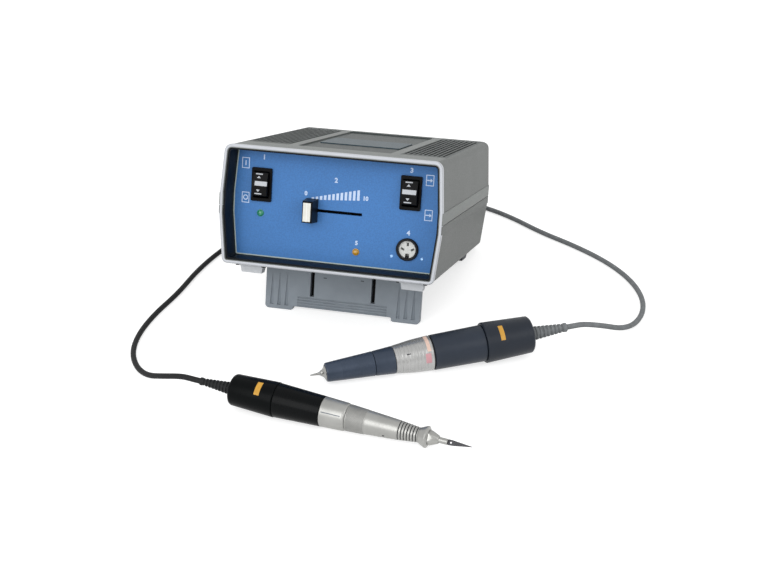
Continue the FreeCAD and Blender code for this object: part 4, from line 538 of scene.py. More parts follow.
def floor_white(level):
    """Floor that takes the shadows as a diffuse surface and is lifted to white for the camera, for glossy and
    for transmission rays by a glow of its own."""
    mat, tree, shader, place, _ = blank("pale bench")
    tree.nodes.remove(shader)
    cloud = spread(tree, noise(tree, place, 0.4))
    matte = fed(tree, "BsdfDiffuse", 0, {"Color": between(tree, cloud, (0.6, 0.6, 0.6), (0.62, 0.62, 0.62))})
    glow = fed(tree, "Emission", 0, {"Strength": product(tree, seen_rays(tree), level)})
    fill(tree, tree.nodes["Material Output"], {"Surface": fed(tree, "AddShader", 0, {0: matte, 1: glow})})
    return mat


def put(obj, mat, body, slot, *nodes):
    """Finished piece: its material, the body it rides on, its slot (not used) and the CAD nodes it stands
    for."""
    obj.data.materials.clear()
    obj.data.materials.append(mat)
    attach(obj, body)
    if nodes:
        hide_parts(*nodes)
    return obj


def dress(mat, *nodes):
    """Gives CAD nodes that stay as they are a better material."""
    for name in nodes:
        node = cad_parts[name]
        if not node.material_slots:
            node.data.materials.append(mat)
        for place in node.material_slots:
            place.material = mat


def written(name, text, size, x, z):
    """Plain number made a mesh in the unit's frame, standing proud of the panel."""
    curve = bpy.data.curves.new(name, "FONT")
    curve.body = text
    curve.size = size * MM
    curve.extrude = 0.06 * MM
    curve.offset = 0.0002
    curve.resolution_u = 4
    curve.align_x = "CENTER"
    curve.align_y = "CENTER"
    holder = bpy.data.objects.new(name, curve)
    mesh = bpy.data.meshes.new_from_object(holder)
    bpy.data.objects.remove(holder)
    bpy.data.curves.remove(curve)
    co = np.zeros(len(mesh.vertices) * 3)
    mesh.vertices.foreach_get("co", co)
    co = co.reshape(-1, 3) / MM
    moved = on_unit(np.stack([co[:, 0] + x, PANEL_AT - 0.02 - co[:, 2], co[:, 1] + z], -1))
    mesh.vertices.foreach_set("co", moved.astype(np.float32).ravel())
    mesh.update()
    return linked(name, mesh)


def route_curve(name, points, width):
    """Round cord on one smooth NURBS line of order 3 that starts and ends at its end points."""
    curve = bpy.data.curves.new(name, "CURVE")
    curve.dimensions = "3D"
    curve.bevel_depth = width / 2
    curve.bevel_resolution = 5
    curve.use_fill_caps = True
    spline = curve.splines.new("NURBS")
    spline.points.add(len(points) - 1)
    flat = np.concatenate([np.asarray(points, float), np.ones((len(points), 1))], 1)
    spline.points.foreach_set("co", flat.astype(np.float32).ravel())
    spline.order_u = 3
    spline.use_endpoint_u = True
    spline.resolution_u = 5
    return linked(name, curve)


# Route of each cord from its strain relief to its coil, and from its coil to its plug, in metres
ROTARY_ROUTE = (
    (0.1453, -0.0051, 0.0194), (0.1598, 0.0044, 0.0149), (0.1726, 0.0189, 0.0064), (0.1820, 0.0373, 0.0022),
    (0.1864, 0.0609, 0.0022), (0.1825, 0.0886, 0.0022), (0.1695, 0.1178, 0.0022), (0.1473, 0.1462, 0.0022),
    (0.1167, 0.1719, 0.0022), (0.0832, 0.1937, 0.0022), (0.0545, 0.2186, 0.0022), (0.0270, 0.2365, 0.0022),
    (-0.0010, 0.2460, 0.0022))
RECIP_ROUTE = (
    (-0.1242, -0.1470, 0.0160), (-0.1410, -0.1428, 0.0112), (-0.1577, -0.1343, 0.0044),
    (-0.1726, -0.1209, 0.0022), (-0.1850, -0.1003, 0.0022), (-0.1918, -0.0731, 0.0022),
    (-0.1930, -0.0391, 0.0022), (-0.1888, 0.0007, 0.0022), (-0.1896, 0.0447, 0.0022),
    (-0.1840, 0.0904, 0.0022), (-0.1719, 0.1327, 0.0022), (-0.1589, 0.1619, 0.0022),
    (-0.1522, 0.1880, 0.0022))
ROTARY_TAIL = (
    (-0.0370, 0.2474, 0.0058), (-0.0483, 0.2558, 0.0050), (-0.0540, 0.2692, 0.0060),
    (-0.0545, 0.2835, 0.00775))
RECIP_TAIL = (
    (-0.1050, 0.2474, 0.0058), (-0.0937, 0.2558, 0.0050), (-0.0880, 0.2692, 0.0060),
    (-0.0875, 0.2835, 0.00775))


def coil_turns(centre, start, way, turns):
    """Points of a wound coil, 14 to each turn. The lower layer steps in by one cord width near the end of
    each turn, the fourth turn climbs to the upper layer, and that layer steps out again a little earlier each
    turn."""
    t = np.arange(0, int(turns * 14) + 1) / 14.0
    outside, cord = 0.0293, 0.0042

    def stepped(*starts):
        """How many of these steps the coil has made; a step begins at its turn and takes 0.17 of a turn."""
        return sum(np.clip((t - at) / 0.17, 0, 1) for at in starts)

    radius = outside + cord * (stepped(4.49, 5.49, 6.49) - stepped(0.83, 1.83, 2.83))
    height = 0.0022 + cord * stepped(3.66)
    angle = math.radians(start) + way * 2 * np.pi * t
    return np.stack([centre[0] + radius * np.cos(angle), centre[1] + radius * np.sin(angle), height], -1)


# What a user would change


def colour_choice(title, what, *screen):
    """Colour that a user can change, with its start value written as 0 to 255 on a screen."""
    return FloatVectorProperty(name=title, description="Colour of " + what, subtype="COLOR", size=3, min=0,
                               max=1,
                               default=hue(*screen))


class UnitLooks(bpy.types.PropertyGroup):
    case_colour: colour_choice("Case", "both shells", 126, 130, 128)
    field_colour: colour_choice("Louvred top", "the louvres and the sunk field", 68, 74, 73)
    # Pale colour of the rim bead: a painted highlight on the hood's rim
    rim_highlight_colour: colour_choice("Rim", "the rim bead", 192, 195, 201)
    panel_colour: colour_choice("Panel", "the front panel", 70, 122, 184)
    print_colour: colour_choice("Print", "the panel's marks", 196, 214, 240)
    rim_proud: FloatProperty(name="Rim", description="How far the rim bead stands in front of the shells",
                             unit="LENGTH", default=0.0003, min=0.0, max=0.002)


class HandpieceLooks(bpy.types.PropertyGroup):
    slate_colour: colour_choice("Slate", "the rotary handpiece", 40, 47, 58)
    chuck_colour: colour_choice("Chuck ring", "the chuck ring", 172, 172, 171)
    black_colour: colour_choice("Black", "the reciprocating handpiece's rear", 8, 10, 11)
    steel_colour: colour_choice("Steel", "polished metal", 160, 160, 157)
    sides: IntProperty(name="Sides", description="Flats round each turned piece", default=144, min=48,
                       max=256)


class CordLooks(bpy.types.PropertyGroup):
    diameter: FloatProperty(name="Diameter", description="Thickness of both cords", unit="LENGTH",
                            default=0.0042, min=0.003, max=0.006)
    grey_colour: colour_choice("Rotary cord", "the rotary cord and relief", 112, 115, 117)
    black_colour: colour_choice("Reciprocating cord", "the other cord and relief", 30, 31, 32)


class StudioLooks(bpy.types.PropertyGroup):
    key_power: FloatProperty(name="Key", description="Power of the large lamp in front, in watts",
                             default=7.5,
                             min=0.0, max=200.0)
    fill_power: FloatProperty(name="Fill", description="Power of the lamp at the right, in watts",
                              default=2.5,
                              min=0.0, max=200.0)
    world_level: FloatProperty(name="Sky", description="Level of the even light from all round", default=0.78,
                               min=0.0, max=2.0)
    floor_lift: FloatProperty(name="Floor lift", description="How far the floor is lifted towards white",
                              default=0.66, min=0.0, max=1.0)


# Stage


class MICROMOTOR_OT_stage(bpy.types.Operator):
    """Makes the floor, the lamps, the even white surroundings and the camera"""
    bl_idname = "micromotor.stage"
    bl_label = "Stage, lamps and camera"

    def execute(self, context):
        looks = context.scene.micromotor_studio
        floor = bpy.data.meshes.new("bench_top")
        corners = np.column_stack([bar(0, 0, 8, 8), np.full(4, -0.0002)])
        floor.from_pydata(corners.tolist(), [], [(0, 1, 2, 3)])
        bench = linked("bench_top", floor)
        floor.materials.append(floor_white(looks.floor_lift))
        world = bpy.data.worlds.new("studio")
        context.scene.world = world
        world.use_nodes = True
        tree = world.node_tree
        sky = spread(tree, seen_rays(tree), looks.world_level, 1.0, 0.0, 1.0)
        fill(tree, tree.nodes["Background"], {"Strength": sky, "Color": (1, 1, 1, 1)})
        for name, power, place, size in (("key", looks.key_power, (-0.28, -1.15, 0.68), 0.9),
                                         ("fill", looks.fill_power, (0.95, -0.5, 0.7), 0.7)):
            self.lamp(name, power, place, size)
        context.scene.camera = self.camera()
        context.scene.view_settings.view_transform = "Standard"
        return {"FINISHED"}

    def lamp(self, name, power, place, size):
        """Square lamp that looks at the middle of the set."""
        lamp = bpy.data.lights.new(name, "AREA")
        lamp.energy = power
        lamp.size = size
        holder = linked(name, lamp)
        holder.location = place
        aim = Vector((-0.02, -0.04, 0.05)) - Vector(place)
        holder.rotation_mode = "QUATERNION"
        holder.rotation_quaternion = aim.to_track_quat("-Z", "Y")

    def camera(self):
        """Camera at its place, turned by its yaw, rise and roll."""
        yaw, rise, roll = (math.radians(turn) for turn in CAMERA_TURN)
        z = np.array([math.sin(yaw) * math.cos(rise), -math.cos(yaw) * math.cos(rise), math.sin(rise)])
        x = np.cross([0, 0, 1], z)
        x /= np.linalg.norm(x)
        y = np.cross(z, x)
        x, y = math.cos(roll) * x + math.sin(roll) * y, -math.sin(roll) * x + math.cos(roll) * y
        lens = bpy.data.cameras.new("camera")
        lens.lens = CAMERA_LENS
        lens.sensor_width = 36.0
        lens.clip_start = 0.05
        lens.clip_end = 20.0
        camera = linked("camera", lens)
        turn = Matrix(np.stack([x, y, z], 1).tolist()).to_4x4()
        camera.matrix_world = Matrix.Translation(CAMERA_AT) @ turn
        return camera


# Cords


class MICROMOTOR_OT_cords(bpy.types.Operator):
    """Lays both cords from their strain reliefs round the unit to a wound coil and a plug behind it"""
    bl_idname = "micromotor.cords"
    bl_label = "Cords and plugs"

    def execute(self, context):
        looks = context.scene.micromotor_cords
        sides = min(context.scene.micromotor_handpieces.sides, SMALL_SIDES)
        rows = (
            ("rotary", ROTARY_LIES, ROTARY_RELIEF, ROTARY_ROUTE, coil_turns((-0.020, 0.217), 87.0, 1, 7.0),
             ROTARY_TAIL, 1.42, looks.grey_colour, "relief_grey"),
            ("recip", RECIP_LIES, RECIP_RELIEF, RECIP_ROUTE, coil_turns((-0.122, 0.217), 180.0, -1, 7.25),
             RECIP_TAIL, 1.50, looks.black_colour, "relief_black"))
        for name, lies, relief, route, turns, tail, length, colour, slot in rows:
            rear, along, _, _ = lying(lies)
            leave = (rear - along * relief) * MM
            first = (rear - along * (relief + 6)) * MM
            points = np.concatenate([[leave, first], route, turns, tail])
            cord = route_curve(name + "_cord_run", points, looks.diameter)
            plug = self.plug(name, tail, sides)
            put(cord, rubber(name + " cord rubber", tuple(colour)), name + "_handpiece", slot,
                name + "_cord", name + "_cord_coil")
            put(plug, rubber(name + " plug rubber", hue(34, 35, 37), 0.5), name + "_handpiece", "plug_black",
                name + "_plug")
        return {"FINISHED"}

    def plug(self, name, tail, sides):
        """Round plug: a relief flaring from the cord, a grip with rounded rings and a thin skirt."""
        end, before = np.array(tail[-1]) / MM, np.array(tail[-2]) / MM
        way = (end - before) * (1, 1, 0)
        way /= np.linalg.norm(way)
        axes = (end, way, np.array([-way[1], way[0], 0.0]), np.array([0.0, 0.0, 1.0]))
        body = corner_list(
            [(0, 0), (0, 2.6)], ringed(2, 16, (2.75, 4.1), 5, 1.2, 0.5), [(18, 4.2), (19, 6.1), (21, 7.75)],
            ringed(24, 38, (7.75, 7.75), 5, 1.1, 0.5),
            [(43.2, 7.75), (44, 6.95), (44, 6.6), (53, 6.6), (53, 6.1), (45, 6.1), (45, 0)])
        radii = np.full(len(body), 0.35)
        radii[[0, -1]] = 0.0
        radii[[-4, -5]] = 0.12
        return turned(name + "_plug_shell", rounded(body, radii, 3), axes, sides)


# Control unit


def case_line(distance, steps=6):
    """Outline of the case section moved in by a distance, anticlockwise from the top's left corner, its four
    main corners rounded."""
    right = [(83.2, 0.0), (87.0, 38.0), (87.0, 54.0), (84.2, 91.5)]
    p = np.array([(-x, z) for x, z in reversed(right)] + right)
    q = np.roll(p, -1, 0) - p
    normal = np.stack([-q[:, 1], q[:, 0]], -1) / np.linalg.norm(q, axis=1)[:, None]
    level = (normal * p).sum(1) + distance
    n0, d0 = np.roll(normal, 1, 0), np.roll(level, 1)
    cross = n0[:, 0] * normal[:, 1] - n0[:, 1] * normal[:, 0]
    moved = np.stack([(d0 * normal[:, 1] - level * n0[:, 1]) / cross,
                      (n0[:, 0] * level - normal[:, 0] * d0) / cross], -1)
    top, base = max(6.0 - distance, 1.0), max(4.0 - distance, 1.0)
    return rounded(moved, [top, 0.5, 0.5, base, base, 0.5, 0.5, top], steps)


class MICROMOTOR_OT_case(bpy.types.Operator):
    """Finishes the shells, the feet and the stand, and adds the hood's rim bead and the panel's trim"""
    bl_idname = "micromotor.case"
    bl_label = "Case, rim and feet"

    def execute(self, context):
        looks = context.scene.micromotor_unit
        dress(case_paint(tuple(looks.case_colour), tuple(looks.field_colour)), "upper_case", "lower_case")
        dress(coated("hood lining", hue(10, 14, 20), 0.5, 0, 0.2, 0.01, soft_edge=0.0003, specular=0.15),
              "panel_surround")
        dress(panel_paint(tuple(looks.panel_colour)), "front_panel")
        dress(coated("rear enamel", hue(96, 100, 102), 0.45, 0, 0.06, 0.02, 0.0008, soft_edge=0.0004),
              "rear_panel")
        dress(coated("badge enamel", hue(52, 70, 78), 0.45, 0, 0.08, 0.01, soft_edge=0.0003), "top_badge")
        dress(foot_rubber(), "front_feet")
        dress(rubber("rear foot rubber", hue(70, 73, 78), 0.6), "rear_feet")
        dress(coated("stand plastic", hue(134, 142, 150), 0.5, 0, 0.06, 0.012, 0.0007, soft_edge=0.0006),
              "stand")
        dress(coated("screw steel", hue(170, 172, 175), 0.3, 1.0, 0.08, 0.004), "case_screws", "stand_pins")
        self.rim(looks)
        self.stand_marks()
        self.trim()
        return {"FINISHED"}

    def rim(self, looks):
        """Bead round the hood's rim, between two offsets of the case's section, in a pale colour that is a
        painted highlight on the rim's edge.
        """
        proud = looks.rim_proud / MM
        outer, inner = case_line(-0.35), case_line(2.3)
        width = np.linalg.norm(inner - outer, axis=1)[:, None]
        half = float(width.mean()) / 2
        profile = rounded([(-half, -proud), (half, -proud), (half, 3.5), (-half, 3.5)], [1.2, 1.0, 0.1, 0.5],
                          5)
        bead = edged("hood_rim_bead", (outer + inner) / 2, (inner - outer) / width, 0, profile)
        put(bead, coated("rim painted highlight", tuple(looks.rim_highlight_colour), 0.32, 0, 0.03, 0.02, 0.0008, 0.00001),
            "control_unit", "case_grey")

    def stand_marks(self):
        """Dark sheets of painted shade in both slits of the stand, and two short ticks on its tongue."""
        # Painted shade: dark sheets standing for the darkness seen through the slits
        slit_shades = stamped("stand_slit_shades", [bar(x, -17.5, 3.1, 26.8) for x in (-25.3, 25.3)], 56.6, 57.3)
        put(slit_shades, coated("slit painted shade", (0.006, 0.006, 0.007), 0.7, 0, 0.2, 0.004, specular=0.05), "stand",
            "stand_plastic")
        ticks = [bar(x, z, 2.6, 0.7) for x, z in ((-14.9, -14.6), (15.9, -13.7))]
        put(stamped("stand_tongue_ticks", ticks, 52.42, 52.55),
            coated("tick shade", hue(58, 62, 68), 0.6, 0, 0.1, 0.004), "stand", "stand_plastic")

    def trim(self):
        """Thin light trim along the panel's left and lower edges."""
        edge = case_line(4.45)[5:31]
        run = np.gradient(edge, axis=0)
        inwards = np.stack([-run[:, 1], run[:, 0]], -1) / np.linalg.norm(run, axis=1)[:, None]
        profile = rounded(bar(0, -0.125, 0.9, 0.35), 0.1, 2)
        put(edged("panel_edge_trim", edge, inwards, PANEL_AT, profile, closed=False),
            coated("edge trim", hue(176, 190, 186), 0.45, 0, 0.04, 0.01), "control_unit", "panel_blue")


class MICROMOTOR_OT_panel(bpy.types.Operator):
    """Prints the scale, the plain numbers and the marks on the front panel, and dresses the controls"""
    bl_idname = "micromotor.panel"
    bl_label = "Panel marks and controls"

    def execute(self, context):
        ink = coated("panel print", tuple(context.scene.micromotor_unit.print_colour), 0.5, 0, 0.03, 0.01)
        self.prints(ink)
        for name, text, size, x, z in (("zero", "0", 4.4, -24.6, 56.6), ("ten", "10", 4.4, 22.8, 56.8),
                                       ("one", "1", 5.0, -59.4, 81.4), ("two", "2", 5.0, -1.0, 68.6),
                                       ("three", "3", 5.0, 57.4, 81.4), ("four", "4", 5.0, 57.9, 33.8),
                                       ("five", "5", 4.4, 17.7, 22.0)):
            put(written("number_" + name, text, size, x, z), ink, "control_unit", "panel_blue")
        dress(coated("switch plastic", hue(5, 5, 7), 0.4, 0, 0.2, 0.006, 0.0005, soft_edge=0.0003,
                     specular=0.07),
              "power_switch_housing", "rotation_switch_housing")
        dress(coated("rocker plastic", hue(8, 8, 10), 0.35, 0, 0.2, 0.006, 0.0005, soft_edge=0.0004,
                     specular=0.1),
              "power_rocker", "rotation_rocker")
        # Painted shade: the slider's body behind the slot is near black, standing for the darkness in the
        # slot
        dress(coated("slider slot shade", hue(10, 10, 12), 0.6, 0, 0.2, 0.004, specular=0.05),
              "slide_potentiometer")
        self.rocker_marks("power", (-60.3, 22.0, 60.3), 1.15, 9.9)
        self.rocker_marks("rotation", (57.9, 22.0, 64.5), -0.05, 10.7)
        self.knob()
        self.lens("power_lamp", -60.6, 38.0, hue(0, 122, 88), 0.1, "lamp_green")
        self.lens("overload_lamp", 17.6, 15.2, hue(172, 128, 22), 0.08, "lamp_amber")
        self.socket()
        return {"FINISHED"}

    def prints(self, ink):
        """Row of twelve growing bars over the slider, four square frames, plain bars and triangles in three
        of them and a small ring in the fourth."""
        spots = []
        for share in np.arange(12) / 11.0:
            x, low, high = -18.9 + 36.0 * share, 52.2 + 2.6 * share, 54.0 + 8.6 * share
            spots.append([(x - 1.0, low), (x + 1.0, low + 0.1), (x + 1.0, high + 0.35), (x - 1.0, high)])
        for x, z in ((-74.2, 76.0), (-73.4, 49.2), (71.8, 75.2), (72.4, 48.8)):
            spots += [bar(x, z + 3.9, 6.2, 0.6), bar(x, z - 3.9, 6.2, 0.6), bar(x - 2.8, z, 0.6, 7.2),
                      bar(x + 2.8, z, 0.6, 7.2)]
        spots += [bar(-74.2, 76.0, 0.8, 3.8), bar(71.0, 75.2, 3.2, 0.8), bar(71.6, 48.8, 3.2, 0.8)]
        spots += [[(72.2, 73.8), (74.0, 75.2), (72.2, 76.6)], [(73.0, 47.4), (74.8, 48.8), (73.0, 50.2)]]
        marks = stamped("panel_marks", spots, PANEL_AT - 0.07, PANEL_AT + 0.05)
        put(marks, ink, "control_unit", "panel_blue")
        ring = edged("panel_ring_mark", disc(-73.4, 49.2, 1.7, 32), disc(0, 0, 1, 32), PANEL_AT - 0.02,
                     rounded(bar(0, 0, 0.7, 0.1), 0.0, 1))
        put(ring, ink, "control_unit", "panel_blue")

    def rocker_marks(self, name, pivot, middle, width):
        """Printed marks on a tipped rocker: a bar and a triangle on each half, and a painted highlight on the
        ridge in the print's colour."""
        c, s = math.cos(ROCKER_TIP), math.sin(ROCKER_TIP)
        ridge_half, ridge_lift, end_half, end_lift = 2.1, 8.8, 9.3, 7.2
        fall = (ridge_lift - end_lift) / (end_half - ridge_half)

        def tipped(points):
            """Rocker frame (x, depth, height about the pivot) turned about the pivot by the rocker's rest
            tip."""
            p = np.asarray(points, float)
            q = np.stack([p[..., 0], p[..., 1] * c - p[..., 2] * s, p[..., 1] * s + p[..., 2] * c], -1)
            return on_unit(q + np.array(pivot))

        def on_slope(points):
            """Points whose depth is counted from the rocker's sloping face at their height."""
            p = np.asarray(points, float)
            depth = -ridge_lift + (np.abs(p[..., 2]) - ridge_half) * fall + p[..., 1]
            return tipped(np.stack([p[..., 0], depth, p[..., 2]], -1))

        ink = coated(name + " rocker print and highlight", hue(190, 194, 200), 0.45, 0, 0.04, 0.005)
        pieces = []
        for half, side in (("_upper", 1), ("_lower", -1)):
            triangle = [(-2.5, side * 4.4), (0.5, side * 4.4), (-1.0, side * 6.2)]
            marks = [bar(-1.0, side * 7.6, 5.6, 0.9), triangle]
            pieces.append(stamped(name + half + "_marks", marks, -0.06, 0.05, on_slope))
        # Painted highlight: a light field across the rocker's ridge
        field = [bar(middle, 0.3, width, 3.5)]
        pieces.append(stamped(name + "_ridge_highlight", field, -8.86, -8.7, tipped, 0.05))
        for piece in pieces:
            put(piece, ink, name + "_rocker", "switch_black")

    def knob(self):
        """Slider knob: black sides and a pale front face with a light index line down its middle."""
        dress(coated("knob plastic", hue(16, 17, 20), 0.35, 0, 0.2, 0.005, 0.0005, soft_edge=0.0005,
                     specular=0.15),
              "speed_knob")
        plate = stamped("knob_front_plate", [bar(-20.45, 44.2, 2.85, 14.4), bar(-17.35, 44.2, 2.85, 14.4)],
                        5.25,
                        5.6, ease=0.12)
        put(plate, coated("knob face", hue(222, 222, 214), 0.4, 0, 0.05, 0.004), "speed_slider", "knob_black")
        line = stamped("knob_index_line", [bar(-18.9, 44.2, 0.5, 14.6)], 5.1, 5.6, ease=0.06)
        put(line, coated("knob index", hue(238, 238, 236), 0.5, 0, 0.03, 0.004), "speed_slider", "knob_black")

    def lens(self, node, x, z, colour, glow, slot):
        """Domed lens of a lamp, with its collar and its stem behind the panel."""
        axes = (on_unit((x, 0, z)) / MM, unit_way((0, 1, 0)) / MM, np.array([1.0, 0, 0]),
                unit_way((0, 0, -1)) / MM)
        angle = np.linspace(0, 0.5 * np.pi, 12)
        dome = np.stack([19.2 - 1.4 * np.cos(angle), 2.35 * np.sin(angle)], -1)
        base = rounded([(19.3, 2.4), (19.3, 2.75), (20.0, 2.75), (20.0, 2.3), (29.0, 2.3), (29.0, 0.0)],
                       [0.0, 0.15, 0.0, 0, 0.3, 0], 2)
        piece = turned(node + "_lens", np.concatenate([dome, base]), axes, 64)
        put(piece, lens_plastic(node + " lens", colour, glow), "control_unit", slot, node)

    def socket(self):
        """Output socket: dark shell, pale insert with an open washer round it, and a screw head on either
        side."""
        dress(coated("socket plastic", hue(12, 14, 20), 0.35, 0, 0.2, 0.004, soft_edge=0.0003, specular=0.15),
              "output_socket_shell")
        pale = coated("socket insulator", hue(214, 216, 214), 0.42, 0, 0.05, 0.003, soft_edge=0.0002)
        dress(pale, "output_socket_insert")
        sweep = np.radians(np.linspace(-76, 256, 97))
        way = np.stack([np.cos(sweep), np.sin(sweep)], -1)
        washer = edged("socket_washer", np.array(SOCKET_AT) + 6.28 * way, way, PANEL_AT + 0.12,
                       rounded(bar(0, 0, 0.88, 0.2), 0.06, 2), closed=False)
        put(washer, pale, "control_unit", "socket_insert")
        heads = stamped("socket_screws", [disc(45.9, 15.0, 1.25), disc(69.7, 15.2, 1.25)], PANEL_AT - 0.45,
                        PANEL_AT + 0.05, ease=0.3)
        put(heads, coated("socket screw", hue(150, 190, 235), 0.3, 0.5, 0.05, 0.002), "control_unit", "steel")


class MICROMOTOR_OT_inside(bpy.types.Operator):
    """Finishes the parts inside the case and on its rear panel"""
    bl_idname = "micromotor.inside"
    bl_label = "Inner and rear parts"

    def execute(self, context):
        dress(banded("core sheets", hue(92, 94, 98), hue(60, 62, 66), 0.0005, "Y", 0.5, 0.7),
              "transformer_core")
        dress(banded("winding wire", hue(176, 106, 60), hue(120, 66, 34), 0.0006, "Z", 0.35, 0.6),
              "transformer_winding")
        dress(coated("board laminate", hue(30, 92, 54), 0.4, 0, 0.2, 0.003, soft_edge=0.0002),
              "circuit_board")
        dress(banded("sink aluminium", hue(190, 192, 194), hue(170, 172, 175), 0.001, "Y", 0.4, 1.0),
              "heat_sink")
        dress(coated("inlet plastic", hue(26, 27, 29), 0.4, 0, 0.2, 0.006, soft_edge=0.0004), "mains_inlet",
              "fuse_holder")
        for name in ("rotary", "recip"):
            dress(banded(name + " armature steel", hue(150, 150, 152), hue(110, 110, 114), 0.0004, "X", 0.35,
                         0.9),
                  name + "_armature")
            dress(coated(name + " magnet", hue(70, 72, 76), 0.5, 0.5, 0.1, 0.004), name + "_magnets")
            dress(coated(name + " bearing steel", hue(188, 189, 190), 0.22, 1.0, 0.05, 0.003),
                  name + "_bearings")
            dress(coated(name + " brush carbon", hue(44, 44, 46), 0.7, 0.0, 0.2, 0.001), name + "_brushes")
        dress(coated("shaft steel", hue(180, 181, 182), 0.25, 1.0, 0.05, 0.003), "rotary_spindle",
              "recip_cam")
        return {"FINISHED"}


# Handpieces


def shell_piece(hold, name, corners, radii, mat, slot, *nodes, body=None, sides=None):
    """One turned piece of a handpiece from its outline's corners (place, radius) in mm and their rounding.
    The hold gives the handpiece's axes, flats and body; a piece with a body or flats of its own names
    them."""
    axes, around, hand = hold
    return put(turned(name, rounded(corners, radii, 3), axes, sides or around), mat, body or hand, slot,
               *nodes)


def patches(axes, rows):
    """Thin patches and marks on a handpiece, a row for each."""
    for name, span, turn, radii, lift, mat, body, slot in rows:
        put(wrapped(name, span, turn, radii, axes, lift), mat, body, slot)


def corner_list(*parts):
    """Corners of an outline joined from plain pairs and from ringed tapers."""
    return np.concatenate([np.atleast_2d(np.asarray(p, float)) for p in parts])


def relief_corners(length, root, end):
    """Outline of a ribbed strain relief from its flange to its end ring."""
    rings = ringed(-length + 2.5, -2.0, (end, root), 8, 1.3, 0.75)[::-1]
    return corner_list(
        [(5.0, 0), (5.0, 5.5), (2.55, 5.5), (2.55, 3.9), (-0.05, 3.9), (-0.05, root), (-1.5, root)], rings,
        [(-length + 2.4, end), (-length + 2.0, end + 0.3), (-length + 0.4, end + 0.3), (-length, end - 0.1),
         (-length, 0)])


